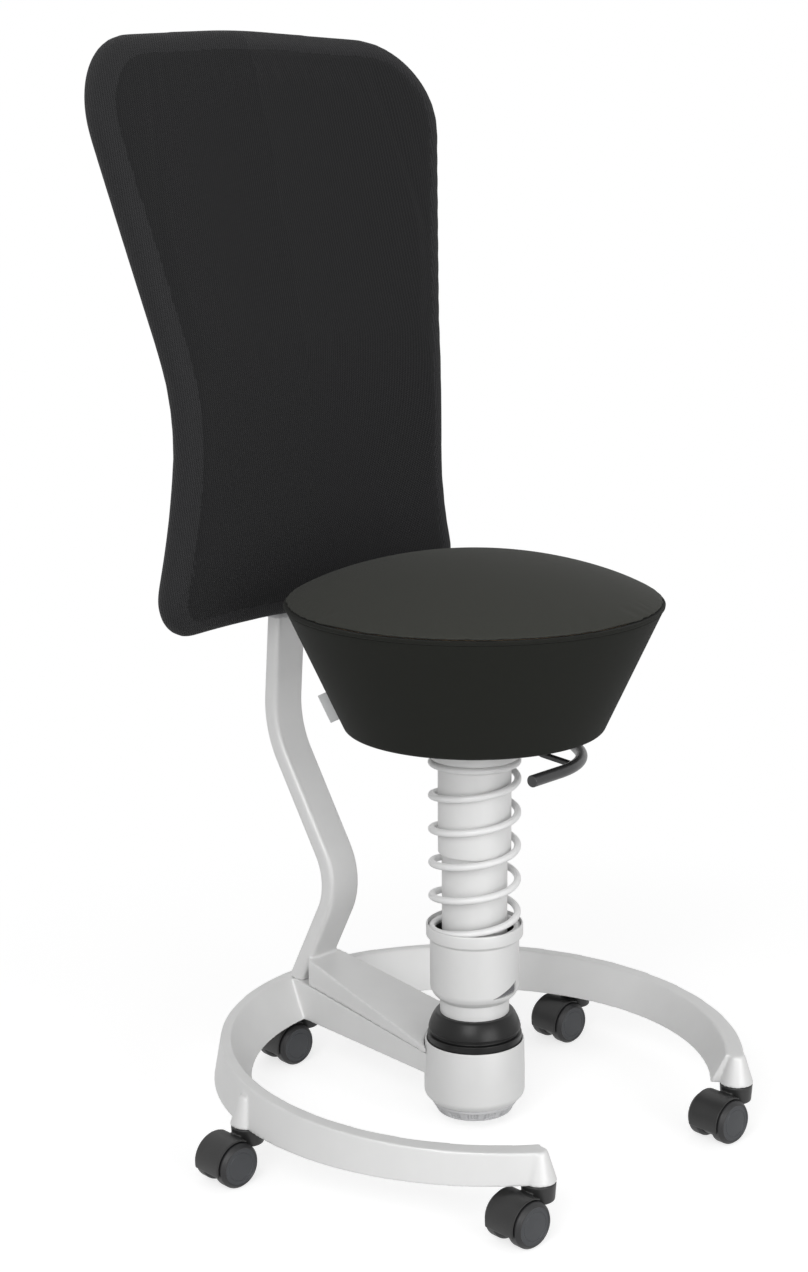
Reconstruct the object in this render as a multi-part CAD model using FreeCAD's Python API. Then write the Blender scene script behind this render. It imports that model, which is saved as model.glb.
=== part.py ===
import FreeCAD, Part
import math
import os

# Balance stool: foot ring on castors, tilting spring column, round seat, backrest on a bent bar.
# Millimetres, +Z up, front is -Y, origin on the floor under the column's axis.

V = FreeCAD.Vector
UP = V(0, 0, 1)

# Clearances
running_fit = 0.06          # radial play of pins, bushes and sliding tubes
body_gap = 0.3              # air between bodies that move past each other
seam_gap = 0.4              # open seam between the bar's foot and the socket

# Castors
wheel_radius = 25.0
wheel_width = 17.5
wheel_rim = 4.5             # raised rim round the dished outer face
wheel_tread_edge = 4.0
wheel_recess = 1.2
wheel_side_gap = 0.7        # wheel to web
web_half_width = 7.8
web_inset = 4.0             # web's edge inside the tread
axle_radius = 4.0
hood_gap = 1.0
hood_wall = 1.8
hood_half_width = 20.5
hood_front_angle = 62.0
hood_rear_angle = 196.0
hood_margin = 2.0           # room beside the wheels' outer faces
bridge_rise = 13.0          # web's top over the collar's underside
castor_headroom = 8.0       # wheel tops to the ring's underside
castor_trail = 30.5
castor_yaw = -4.0
castor_angles = (36.0, 108.0, 180.0, 252.0, 324.0)
collar_radius = 18.8
collar_height = 20.7
stem_radius = 5.5
stem_length = 26.0

# Foot ring
ring_half_width = 300.0     # outer edge of the foot, sideways
ring_half_depth = 309.0     # outer edge of the foot, front to back
ring_centre_y = -9.0
ring_foot = 43.5            # width of the ring's underside
ring_inner_draft = 26.5     # degrees, inner wall leans outwards
ring_outer_draft = 10.0     # degrees, outer wall leans inwards
ring_rear_height = 51.0
ring_front_height = 32.0
ring_opening_half_angle = 36.0
castor_inset_x = 8.0        # castors inside the ring's outer edge, sideways
castor_inset_y = 17.0       # the same, front to back
boss_lip = 0.7              # boss's foot beyond the castor's collar
boss_wall = 3.5             # round the stem's hole, at the boss's top
boss_cap = 8.0              # over the stem's end

# Column tubes
lower_tube_radius = 37.1
lower_tube_wall = 4.1
bush_wall = 1.7
bush_length = 24.0
upper_tube_wall = 2.6
upper_tube_length = 125.5
upper_tube_stand = 16.5     # upper tube's top over the spring's top
bounce_travel = 50.0
bounce_stop = 5.0           # left between tube and guide flange at full bounce

# Tilt unit
stud_ball_radius = 14.0
stud_shank_radius = 8.0
stud_flange_radius = 16.0
stud_flange_height = 4.5
liner_wall = 2.2
liner_low_angle = -36.0
liner_high_angle = 66.0
hub_wall = 13.2             # hub core round the bearing
hub_drop = 14.0             # hub core's underside below the ball's centre
hub_mouth_wall = 4.0
neck_wall = 2.4
neck_height = 16.5          # neck over the rubber
rubber_bulge = 14.7         # rubber's widest radius beyond the neck
rubber_lip = 5.0            # rubber's top face round the neck
rubber_drop = 20.0          # rubber's underside below the ball's centre
rubber_heel = 6.0           # slope of the rubber's underside
rubber_ledge = 8.0          # rubber's step under the neck
rubber_groove_rise = 8.2    # groove over the ball's centre
rubber_groove_width = 5.4
rubber_groove_depth = 3.0

# Socket, buffer and knob
socket_wall = 3.0
socket_rim_draft = 1.0
socket_rim_rise = 39.7      # rim over the ring's underside
socket_shoulder_drop = 12.0
socket_depth = 31.0         # socket's bottom below the ring's underside
socket_foot_inset = 10.8
socket_bulge = 4.0          # rounding of the socket's lower edge
socket_floor = 13.0
ball_rise = 2.3             # ball's centre over the rim
buffer_play = 0.8
buffer_air = 10.0           # buffer's bore round the stud's flange
buffer_height = 22.0
buffer_slope = 6.0
nut_radius = 15.0
nut_height = 9.0
knob_collar_radius = 30.0
knob_collar_height = 13.0
knob_proud = 1.5            # knob below the collar
knob_step = 0.5             # knob's edge inside the socket's foot
knob_taper = 6.5
knob_lip = 3.0
knob_grips = 14
knob_grip_width = 12.5
knob_grip_height = 8.8
knob_grip_depth = 1.6
knob_grip_rise = 2.0

# Spring and its cup
wire_radius = 4.0
coil_air = 3.1              # coils to upper tube
coil_length = 204.3
coil_active_quarters = 19
coil_start_angle = -81.7
spring_stub = 8.0           # straight end of the wire
spring_seat_inset = 2.0
spring_seat_height = 10.5
spring_seat_edge = 1.5
cup_height = 88.7
cup_collar_height = 14.0
cup_collar_wall = 1.7
cup_collar_slope = 3.0
cup_rim_edge = 1.6
cup_nest_depth = 10.3       # spring's foot below the rim
cup_body_inset = 1.7        # cup's body inside the spring's radius
cup_taper_height = 12.2
cup_bottom_wall = 4.4
cup_bulge = 2.9             # rounding of the cup's lower edge
cup_wall = 4.6
cup_floor = 12.0

# Gas spring
gas_tube_radius = 14.25
gas_tube_wall = 2.75
gas_tube_length = 244.0
gas_tube_end = 10.0
gas_cone_length = 26.0
gas_cone_taper = 1.25
gas_rod_radius = 5.0
gas_rod_clip = 4.0
gas_piston_play = 0.2
gas_piston_height = 6.0
gas_valve_radius = 3.0
gas_valve_length = 17.0
gas_room = 19.0             # cylinder's top below the seat plate
guide_wall = 10.0
guide_length = 261.0
guide_floor = 5.0
guide_flange = 6.0

# Seat
seat_stand = 161.0          # seam over the upper tube's top, highest position
seat_radius = 210.5
seat_bottom_radius = 145.0
seat_side_height = 143.0
seat_crown = 51.0
seat_edge_rise = 7.5
seat_edge_bulge = 2.4
seat_seam_inset = 1.5
seat_shoulder_inset = 9.0
skirt_pad = 11.0
skirt_fold = 24.0
skirt_edge = 5.0
shell_wall = 3.0
shell_lip = 15.0
plate_thickness = 10.0
plate_hole_radius = 20.0
hub_height = 36.0
hub_boss_radius = 24.0
hub_flange_half = 62.0
hub_flange = 6.0
hub_corner = 14.0
hub_rib_angles = (30, 90, 150, 210, 330)
hub_rib_thickness = 5.0
hub_rib_inset = 6.0
seat_screw_radius = 4.0
seat_screw_head = 7.0
seat_screw_head_height = 4.0
seat_screw_cover = 2.0      # plate left over the screw's end
seat_screw_spacing = 46.0
tag_width = 11.3
tag_height = 34.0
tag_thickness = 1.2
tag_rise = 10.0             # tag's foot over the seat's lower edge
tag_angle = 134.0

# Height lever
lever_angle = -78.0
lever_arm_radius = 3.6
lever_pivot_radius = 40.0
lever_pivot_drop = 10.0     # pivot below the seat plate
lever_drop_radius = 78.0
lever_bend = 12.0
lever_rise = 8.0            # arm's rise between handle and drop
lever_past_axis = 3.0
lever_side_play = 1.5
lever_eye_radius = 6.0
lever_pin_radius = 3.0
lever_pin_end = 2.0         # pin beyond its ears
ear_thickness = 5.0
ear_half_width = 7.0
ear_drop = 6.5              # ears below the pin's centre
handle_radius = 6.0
handle_drop = 27.0          # below the seat's lower edge
handle_inset = 14.0         # inside the seat's lower edge
handle_end_x = -54.0
handle_bend_x = 46.0
handle_bend_inset = 8.0
handle_tip_x = 94.0
handle_tip_inset = 67.0
handle_bend_radius = 52.0

# Backrest bar and spoke
bar_width = 46.0
bar_thickness = 22.0
bar_edge = 6.0
bar_foot_inset = 8.0        # foot's centre in front of the spoke's rear end
bar_foot_rise = 9.0         # over the ring's rear top
bar_knee_forward = 61.5
bar_knee_rise = 119.0
bar_shoulder_back = 106.5
bar_shoulder_rise = 175.0
bar_top_rise = 340.0
bar_top_lean = 4.5
bar_knee_radius = 75.0
bar_shoulder_radius = 120.0
spoke_rear_inset = 24.0     # spoke's rear end inside the ring's edge
spoke_margin = 0.5          # spoke wider than the bar, each side
spoke_cheek = 9.8           # spoke's front narrower than the socket, each side
spoke_overlap = 21.8        # spoke's front end inside the socket
seam_rear_drop = 3.5        # seam below the ring's rear top
seam_front_rise = 25.0      # seam over the ring's underside, at the socket
wedge_inset = 21.0          # wedge's crest in front of the bar's foot
wedge_rise = 28.0           # crest over the ring's rear top
wedge_front_height = 9.0
bar_screw_radius = 5.0
bar_screw_head = 8.5
bar_screw_head_height = 8.0
bar_screw_key = 4.2
bar_screw_key_depth = 4.0
bar_screw_reach = 14.0
bar_screw_inset = 64.0      # rear screw in front of the spoke's rear end
bar_screw_spacing = 94.0

# Backrest
back_height = 662.9
back_lumbar_height = 216.5  # lumbar bulge over the bottom edge
back_lumbar_rise = 23.0     # lumbar bulge over the bar's top
back_lumbar_radius = 432.6
back_upper_lean = 13.9
back_lower_lean = 4.6
back_side_radius = 760.0
back_bottom_half = 236.1
back_bottom_crown = 3.9
back_waist_half = 186.2
back_waist_drop = 14.3      # narrowest place below the lumbar bulge
back_top_half = 275.8
back_top_crown = 14.3
back_waist_radius = 610.0
back_side_straight = 6.0    # straight left beside the waist's rounding
waist_passes = 12           # passes that settle the waist's height
back_bottom_corner_radius = 43.0
back_top_corner_radius = 89.0
back_crown_radius = 900.0
back_thickness = 46.0
back_edge_radius = 16.0
back_front_pad = 16.0
back_board = 6.0
back_board_inset = 20.0
back_bar_gap = 1.2          # bar's top behind the board
back_margin = 43.0          # slab beyond the outline before it is cut
back_curve_shares = (1.0, 0.6, 0.25, 0.0)  # places of the side curve's points along a lean
side_normal_depth = 0.02    # most depth in the normal of a side face
sleeve_wall = 2.5
sleeve_height = 9.0

# Radii that follow from the sizes above
wheel_inner_face = web_half_width + wheel_side_gap
wheel_outer_face = wheel_inner_face + wheel_width
upper_tube_radius = lower_tube_radius + bush_wall + upper_tube_wall
coil_outer_radius = upper_tube_radius + coil_air + 2 * wire_radius
neck_radius = lower_tube_radius + neck_wall
rubber_radius = neck_radius + rubber_bulge
bearing_radius = stud_ball_radius + body_gap
cavity_radius = bearing_radius + liner_wall + body_gap
hub_core_radius = cavity_radius + hub_wall
socket_bore_radius = rubber_radius + 2 * body_gap
socket_radius = socket_bore_radius + socket_wall
socket_foot_radius = socket_radius - socket_foot_inset
knob_radius = socket_foot_radius - knob_step
knob_foot_radius = knob_radius - knob_taper
slot_half = lever_arm_radius + lever_side_play

# Heights that follow, from the floor up
ring_bottom_z = 2 * wheel_radius + castor_headroom
ring_rear_top_z = ring_bottom_z + ring_rear_height
ring_front_top_z = ring_bottom_z + ring_front_height
collar_bottom_z = ring_bottom_z - body_gap - collar_height
stem_top_z = ring_bottom_z + stem_length
socket_rim_z = ring_bottom_z + socket_rim_rise
socket_bottom_z = ring_bottom_z - socket_depth
socket_bore_floor_z = socket_bottom_z + socket_floor
knob_collar_z = socket_bottom_z - knob_collar_height
knob_bottom_z = knob_collar_z - knob_proud
ball_centre_z = socket_rim_z + ball_rise
rubber_top_z = ball_centre_z + math.sqrt(rubber_radius ** 2 - (neck_radius + rubber_lip) ** 2)
rubber_bottom_z = ball_centre_z - rubber_drop
rubber_ledge_z = rubber_top_z - rubber_ledge
hub_bottom_z = ball_centre_z - hub_drop
neck_top_z = rubber_top_z + neck_height
cup_bottom_z = neck_top_z + body_gap
cup_rim_z = cup_bottom_z + cup_height
coil_bottom_z = cup_rim_z - cup_nest_depth
coil_top_z = coil_bottom_z + coil_length
upper_tube_top_z = coil_top_z + upper_tube_stand
upper_tube_bottom_z = upper_tube_top_z - upper_tube_length
lower_tube_bottom_z = rubber_ledge_z + upper_tube_wall
lower_tube_top_z = upper_tube_top_z - guide_flange - bounce_travel - bounce_stop
guide_floor_z = upper_tube_top_z - guide_length
seat_seam_z = upper_tube_top_z + seat_stand
seat_bottom_z = seat_seam_z - seat_side_height
plate_bottom_z = seat_seam_z - plate_thickness
gas_top_z = plate_bottom_z - gas_room
gas_cone_z = gas_top_z - gas_cone_length
gas_tube_bottom_z = gas_top_z - gas_tube_length
lever_pivot_z = plate_bottom_z - lever_pivot_drop
handle_z = seat_bottom_z - handle_drop

# Places along the depth that follow
spoke_rear_y = ring_centre_y + ring_half_depth - spoke_rear_inset
spoke_front_y = socket_radius - spoke_overlap
seam_rear_z = ring_rear_top_z - seam_rear_drop
seam_front_z = ring_bottom_z + seam_front_rise
bar_screw_places = (spoke_rear_y - bar_screw_inset, spoke_rear_y - bar_screw_inset - bar_screw_spacing)
bar_foot = V(0, spoke_rear_y - bar_foot_inset, ring_rear_top_z + bar_foot_rise)
bar_knee = bar_foot + V(0, -bar_knee_forward, bar_knee_rise)
bar_shoulder = bar_knee + V(0, bar_shoulder_back, bar_shoulder_rise)
bar_top = bar_shoulder + V(0, -bar_top_rise * math.tan(math.radians(bar_top_lean)), bar_top_rise)
wedge_rear_y = bar_foot.y - wedge_inset
wedge_rear_z = ring_rear_top_z + wedge_rise
wedge_front_z = seam_front_z + wedge_front_height
back_lumbar_y = bar_top.y - bar_thickness / 2 - back_bar_gap - back_board - back_front_pad
back_lumbar_z = bar_top.z + back_lumbar_rise
back_bottom_z = back_lumbar_z - back_lumbar_height
back_top_z = back_bottom_z + back_height


def save(name, shape):
    """Write one sub-part as its own file."""
    shape.exportStep(os.path.join("parts", name + ".step"))


def tan(degrees):
    return math.tan(math.radians(degrees))


def profile_wire(points, plane):
    """Closed wire through (u, w) points; a pair of points is an arc through the first to the second."""
    start = plane(*points[0])
    edges = []
    here = start
    for item in points[1:]:
        if isinstance(item[0], tuple):
            middle = plane(*item[0])
            end = plane(*item[1])
            edges.append(Part.Arc(here, middle, end).toShape())
        else:
            end = plane(*item)
            edges.append(Part.LineSegment(here, end).toShape())
        here = end
    if not here.isEqual(start, 1e-6):
        edges.append(Part.LineSegment(here, start).toShape())
    return Part.Wire(edges)


def bulged(start, end, bulge):
    """Arc item to end whose middle stands off the chord by the bulge, on the right of travel."""
    run = end[0] - start[0]
    rise = end[1] - start[1]
    share = bulge / math.hypot(run, rise)
    return ((start[0] + end[0]) / 2 + share * rise, (start[1] + end[1]) / 2 - share * run), end


def in_xz(u, w):
    return V(u, 0, w)


def in_yz(u, w):
    return V(0, u, w)


def turned(points):
    """Solid of revolution about the column's axis from (radius, z) points."""
    return Part.Face(profile_wire(points, in_xz)).revolve(V(0, 0, 0), UP, 360)


def rounded_outline(corners, plane):
    """Closed outline of straight lines whose corners (u, w, radius) are rounded by tangent arcs."""
    count = len(corners)
    pieces = []
    for index, (u, w, radius) in enumerate(corners):
        point = plane(u, w)
        before = plane(*corners[index - 1][:2]) - point
        after = plane(*corners[(index + 1) % count][:2]) - point
        before.normalize()
        after.normalize()
        half = before.getAngle(after) / 2
        reach = radius / math.tan(half)
        inward = before + after
        inward.normalize()
        middle = point + inward * (radius / math.sin(half) - radius)
        pieces.append((point + before * reach, middle, point + after * reach))
    edges = []
    for index, (begin, middle, end) in enumerate(pieces):
        edges.append(Part.Arc(begin, middle, end).toShape())
        edges.append(Part.LineSegment(end, pieces[(index + 1) % count][0]).toShape())
    return Part.Wire(edges)


def bent_path(points, radii):
    """Open path through points, with a tangent arc of the given radius at each inner point."""
    edges = []
    here = points[0]
    for index, radius in enumerate(radii):
        corner = points[index + 1]
        before = (points[index] - corner).normalize()
        after = (points[index + 2] - corner).normalize()
        half = before.getAngle(after) / 2
        reach = radius / math.tan(half)
        inward = (before + after).normalize()
        middle = corner + inward * (radius / math.sin(half) - radius)
        begin = corner + before * reach
        end = corner + after * reach
        edges.append(Part.LineSegment(here, begin).toShape())
        edges.append(Part.Arc(begin, middle, end).toShape())
        here = end
    edges.append(Part.LineSegment(here, points[-1]).toShape())
    return Part.Wire(edges)


def rod_along(path, radius):
    """Round rod swept along a path."""
    first = path.OrderedEdges[0]
    start = first.valueAt(first.FirstParameter)
    direction = first.tangentAt(first.FirstParameter)
    section = Part.Wire(Part.Circle(start, direction, radius).toShape())
    return path.makePipeShell([section], True, False)


def below_plane(front_y, front_z, rear_y, rear_z):
    """Large block under the plane through two (y, z) points, for trimming."""
    reach = 2 * ring_half_depth
    slope = (rear_z - front_z) / (rear_y - front_y)
    low = front_z + slope * (-reach - front_y)
    high = front_z + slope * (reach - front_y)
    floor = min(low, high) - reach
    side = profile_wire([(-reach, floor), (reach, floor), (reach, high), (-reach, low)], in_yz)
    block = Part.Face(side).extrude(V(2 * reach, 0, 0))
    block.translate(V(-reach, 0, 0))
    return block


def castor_place(angle):
    turn = math.radians(angle)
    half_x = ring_half_width - castor_inset_x
    half_y = ring_half_depth - castor_inset_y
    return V(half_x * math.sin(turn), ring_centre_y - half_y * math.cos(turn), 0)


def ellipse(half_x, half_y, z):
    centre = V(0, ring_centre_y, z)
    x_end = centre + V(half_x, 0, 0)
    y_end = centre + V(0, half_y, 0)
    ends = (x_end, y_end) if half_x >= half_y else (y_end, x_end)
    return Part.Wire(Part.Ellipse(ends[0], ends[1], centre).toShape())


def drafted_disc(half_x, half_y, draft, height):
    """Elliptical disc on the ring's underside whose wall leans by the draft angle."""
    grow = height * tan(draft)
    bottom = ellipse(half_x, half_y, ring_bottom_z)
    top = ellipse(half_x + grow, half_y + grow, ring_bottom_z + height)
    return Part.makeLoft([bottom, top], True, True)


def spoke_block(bottom_z, top_z):
    """Tapered plan of the spoke between two heights."""
    rear = bar_width / 2 + spoke_margin
    front = socket_radius - spoke_cheek
    corners = [(-rear, spoke_rear_y), (rear, spoke_rear_y), (front, spoke_front_y), (-front, spoke_front_y)]
    points = [V(x, y, bottom_z) for x, y in corners]
    face = Part.Face(Part.makePolygon(points + points[:1]))
    return face.extrude(V(0, 0, top_z - bottom_z))


def foot_ring():
    """Drafted oval ring, cut off by a sloping top and open at the front."""
    height = ring_rear_height + ring_foot
    outer = drafted_disc(ring_half_width, ring_half_depth, -ring_outer_draft, height)
    inner = drafted_disc(ring_half_width - ring_foot, ring_half_depth - ring_foot, ring_inner_draft, height)
    front_y = ring_centre_y - ring_half_depth
    rear_y = ring_centre_y + ring_half_depth
    ring = outer.cut(inner).common(below_plane(front_y, ring_front_top_z, rear_y, ring_rear_top_z))
    reach = 2 * (ring_half_width + ring_half_depth)
    opening = math.radians(ring_opening_half_angle)
    centre = V(0, ring_centre_y, 0)
    side = V(reach * math.sin(opening), 0, 0)
    ahead = V(0, -reach * math.cos(opening), 0)
    mouth = Part.makePolygon([centre, centre + side + ahead, centre - side + ahead, centre])
    return ring.cut(Part.Face(mouth).extrude(V(0, 0, reach)))


def socket_block():
    """Barrel socket with a rounded lower edge and the knob's collar under it."""
    foot = (socket_foot_radius, socket_bottom_z)
    shoulder = (socket_radius, ring_bottom_z - socket_shoulder_drop)
    return turned([(0, knob_collar_z), (knob_collar_radius, knob_collar_z),
                   (knob_collar_radius, socket_bottom_z), foot, bulged(foot, shoulder, socket_bulge),
                   (socket_radius, ring_bottom_z), (socket_radius - socket_rim_draft, socket_rim_z),
                   (0, socket_rim_z)])


def upright(radius, bottom, top, place=V(0, 0, 0)):
    """Upright cylinder between two heights."""
    return Part.makeCylinder(radius, top - bottom, V(place.x, place.y, bottom))


def base_casting():
    """Open foot ring with castor bosses, rear spoke and socket, as one casting."""
    casting = foot_ring()
    boss_foot = collar_radius + boss_lip
    boss_top = stem_radius + boss_wall
    for angle in castor_angles:
        boss = Part.makeCone(boss_foot, boss_top, stem_length + boss_cap)
        boss.translate(castor_place(angle) + V(0, 0, ring_bottom_z))
        casting = casting.fuse(boss)
    spoke = spoke_block(ring_bottom_z, ring_rear_top_z + ring_foot)
    spoke = spoke.common(below_plane(spoke_front_y, seam_front_z, spoke_rear_y, seam_rear_z))
    casting = casting.fuse(spoke).fuse(socket_block())
    casting = casting.cut(upright(socket_bore_radius, socket_bore_floor_z, ring_rear_top_z + ring_foot))
    casting = casting.cut(upright(stud_shank_radius, 0, socket_rim_z))
    casting = casting.cut(upright(nut_radius, 0, knob_collar_z + nut_height))
    for angle in castor_angles:
        hole = upright(stem_radius + running_fit, 0, stem_top_z + body_gap, castor_place(angle))
        casting = casting.cut(hole)
    for place in bar_screw_places:
        at = V(0, place, 0)
        casting = casting.cut(upright(bar_screw_head, 0, ring_bottom_z + bar_screw_head_height, at))
        casting = casting.cut(upright(bar_screw_radius, 0, ring_rear_top_z, at))
    return casting.removeSplitter()


def bar_screw(place):
    """Socket-head screw from below the spoke into the bar's foot."""
    at = V(0, place, 0)
    neck = ring_bottom_z + bar_screw_head_height
    head = upright(bar_screw_head, ring_bottom_z, neck, at)
    key = upright(bar_screw_key, ring_bottom_z, ring_bottom_z + bar_screw_key_depth, at)
    shank = upright(bar_screw_radius, neck, seam_height(place) + bar_screw_reach, at)
    return head.cut(key).fuse(shank).removeSplitter()


def seam_height(y):
    """Height of the seam between spoke and bar foot at y."""
    share = (y - spoke_front_y) / (spoke_rear_y - spoke_front_y)
    return seam_front_z + share * (seam_rear_z - seam_front_z)


def bar_route():
    """Centre line of the bar: foot, knee, shoulder and top inside the backrest."""
    down = (bar_foot - bar_knee).normalize() * (bar_foot.z - ring_bottom_z)
    return bent_path([bar_foot + down, bar_knee, bar_shoulder, bar_top],
                     [bar_knee_radius, bar_shoulder_radius])


def swept_bar(width, thickness, edge):
    """Rounded flat bar along the route."""
    path = bar_route()
    first = path.OrderedEdges[0]
    start = first.valueAt(first.FirstParameter)
    along = first.tangentAt(first.FirstParameter)
    across = along.cross(V(1, 0, 0)).normalize()

    def plane(u, w):
        return start + V(u, 0, 0) + across * w

    half_w = width / 2
    half_t = thickness / 2
    section = rounded_outline([(-half_w, -half_t, edge), (half_w, -half_t, edge),
                               (half_w, half_t, edge), (-half_w, half_t, edge)], plane)
    return path.makePipeShell([section], True, False)


def backrest_bar():
    """Bent bar and its wedge foot, one casting that lies on the spoke."""
    wide = 2 * socket_radius
    wedge = spoke_block(ring_bottom_z, wedge_rear_z + wedge_rise)
    wedge = wedge.common(below_plane(spoke_front_y, wedge_front_z, wedge_rear_y, wedge_rear_z))
    behind = Part.makeBox(2 * wide, ring_half_depth, bar_knee.z, V(-wide, wedge_rear_y, 0))
    heel = wedge.common(behind).common(swept_bar(2 * wide, bar_thickness, bar_edge))
    foot = wedge.cut(behind)
    seam = below_plane(spoke_front_y, seam_front_z, spoke_rear_y, seam_rear_z)
    bar = swept_bar(bar_width, bar_thickness, bar_edge).fuse(foot).fuse(heel).cut(seam)
    bar = bar.cut(upright(socket_radius + seam_gap, 0, bar_knee.z)).cut(foot_ring())
    for place in bar_screw_places:
        bar = bar.cut(upright(bar_screw_radius, 0, seam_height(place) + bar_screw_reach, V(0, place, 0)))
    return bar.removeSplitter()


def ball_stud():
    """Steel stud with a ball head, fixed in the socket's floor."""
    ball = Part.makeSphere(stud_ball_radius, V(0, 0, ball_centre_z))
    shank = upright(stud_shank_radius, knob_collar_z, ball_centre_z)
    flange = upright(stud_flange_radius, socket_bore_floor_z, socket_bore_floor_z + stud_flange_height)
    return ball.fuse(shank).fuse(flange).removeSplitter()


def stud_nut():
    """Hexagon nut in the pocket under the socket."""
    corners = []
    for index in range(7):
        turn = math.radians(60 * index)
        corners.append(V(nut_radius * math.cos(turn), nut_radius * math.sin(turn), knob_collar_z))
    nut = Part.Face(Part.makePolygon(corners)).extrude(V(0, 0, nut_height))
    return nut.cut(upright(stud_shank_radius, 0, ball_centre_z))


def bearing_liner():
    """Spherical bearing shell between the stud's ball and the hub."""
    outer = bearing_radius + liner_wall
    middle = (liner_low_angle + liner_high_angle) / 2

    def on_sphere(radius, angle):
        turn = math.radians(angle)
        return (radius * math.cos(turn), ball_centre_z + radius * math.sin(turn))

    return turned([on_sphere(bearing_radius, liner_low_angle), on_sphere(outer, liner_low_angle),
                   (on_sphere(outer, middle), on_sphere(outer, liner_high_angle)),
                   on_sphere(bearing_radius, liner_high_angle),
                   (on_sphere(bearing_radius, middle), on_sphere(bearing_radius, liner_low_angle))])


def tilt_hub():
    """Hub on the ball bearing, with the neck that holds the lower tube."""
    hub = turned([(0, hub_bottom_z), (hub_core_radius, hub_bottom_z), (hub_core_radius, rubber_ledge_z),
                  (neck_radius, rubber_ledge_z), (neck_radius, neck_top_z), (lower_tube_radius, neck_top_z),
                  (lower_tube_radius, lower_tube_bottom_z), (0, lower_tube_bottom_z)])
    mouth_radius = hub_core_radius - hub_mouth_wall
    mouth = Part.makeCone(mouth_radius, cavity_radius / 2, hub_drop, V(0, 0, hub_bottom_z))
    return hub.cut(Part.makeSphere(cavity_radius, V(0, 0, ball_centre_z))).cut(mouth).removeSplitter()


def rubber_ball():
    """Rubber ball round the hub, with its groove."""

    def edge_at(z):
        return math.sqrt(rubber_radius ** 2 - (z - ball_centre_z) ** 2)

    middle_z = (rubber_top_z + rubber_bottom_z) / 2
    ball = turned([(hub_core_radius, rubber_bottom_z + rubber_heel),
                   (edge_at(rubber_bottom_z), rubber_bottom_z),
                   ((edge_at(middle_z), middle_z), (edge_at(rubber_top_z), rubber_top_z)),
                   (neck_radius, rubber_top_z), (neck_radius, rubber_ledge_z),
                   (hub_core_radius, rubber_ledge_z)])
    groove_z = ball_centre_z + rubber_groove_rise
    low = groove_z - rubber_groove_width / 2
    floor_radius = edge_at(groove_z) - rubber_groove_depth
    return ball.cut(tube(2 * rubber_radius, floor_radius, low, low + rubber_groove_width))


def buffer_ring():
    """Rubber buffer on the socket's floor."""
    floor = socket_bore_floor_z
    inner = stud_flange_radius + buffer_air
    outer = socket_bore_radius - buffer_play
    return turned([(inner, floor), (outer, floor), (outer, floor + buffer_height - buffer_slope),
                   (inner, floor + buffer_height)])


def tension_knob():
    """Dished knob with a ring of grips, turning on the socket's lower collar."""
    top = socket_bottom_z - body_gap
    bore = knob_collar_radius + running_fit
    knob = turned([(bore, knob_bottom_z), (knob_foot_radius, knob_bottom_z), (knob_radius, top - knob_lip),
                   (knob_radius, top), (bore, top)])
    lean = math.degrees(math.atan2(knob_taper, top - knob_lip - knob_bottom_z))
    for index in range(knob_grips):
        pocket = Part.makeBox(2 * knob_grip_depth, knob_grip_width, knob_grip_height,
                              V(-knob_grip_depth, -knob_grip_width / 2, knob_grip_rise))
        pocket.rotate(V(0, 0, 0), V(0, 1, 0), lean)
        pocket.translate(V(knob_foot_radius, 0, knob_bottom_z))
        pocket.rotate(V(0, 0, 0), UP, 360 * index / knob_grips)
        knob = knob.cut(pocket)
    return knob


def tube(outer, inner, bottom, top):
    shape = Part.makeCylinder(outer, top - bottom, V(0, 0, bottom))
    return shape.cut(Part.makeCylinder(inner, top - bottom, V(0, 0, bottom)))


def spring_cup():
    """Cup that carries the spring on its shoulder and turns on the lower tube."""
    bore = lower_tube_radius + running_fit
    shoulder = coil_bottom_z - body_gap / 2
    nest = math.hypot(coil_outer_radius - wire_radius, spring_stub) + wire_radius + body_gap
    collar = nest + cup_collar_wall
    body = coil_outer_radius - cup_body_inset
    cavity = body - cup_wall
    collar_z = cup_rim_z - cup_collar_height
    floor_z = cup_bottom_z + cup_floor
    foot = (lower_tube_radius + cup_bottom_wall, cup_bottom_z)
    side = (body, cup_bottom_z + cup_taper_height)
    return turned([(bore, cup_bottom_z), foot, bulged(foot, side, cup_bulge),
                   (body, collar_z - cup_collar_slope), (collar, collar_z),
                   (collar, cup_rim_z - cup_rim_edge), (collar - cup_rim_edge, cup_rim_z), (nest, cup_rim_z),
                   (nest, shoulder), (cavity, shoulder), (cavity, floor_z), (bore, floor_z)])


def coil_points():
    """Quarter-turn points (angle, z, slope) of the spring's centre line: flat ends, steady pitch between."""
    radius = coil_outer_radius - wire_radius
    low = coil_bottom_z + wire_radius
    high = coil_top_z - wire_radius
    rise = (high - low) / (coil_active_quarters + 1)
    heights = [low, low, low]
    slopes = [0.0, 0.0, 0.0]
    heights.append(low + rise / 2)
    slopes.append(rise / (radius * math.pi / 2))
    for index in range(coil_active_quarters):
        heights.append(low + rise / 2 + rise * (index + 1))
        slopes.append(slopes[3])
    heights += [high, high, high]
    slopes += [0.0, 0.0, 0.0]
    points = []
    for index, height in enumerate(heights):
        turn = math.radians(coil_start_angle + 90 * index)
        place = V(radius * math.cos(turn), radius * math.sin(turn), height)
        heading = V(-math.sin(turn), math.cos(turn), slopes[index]).normalize()
        points.append((place, heading))
    return points


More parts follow.
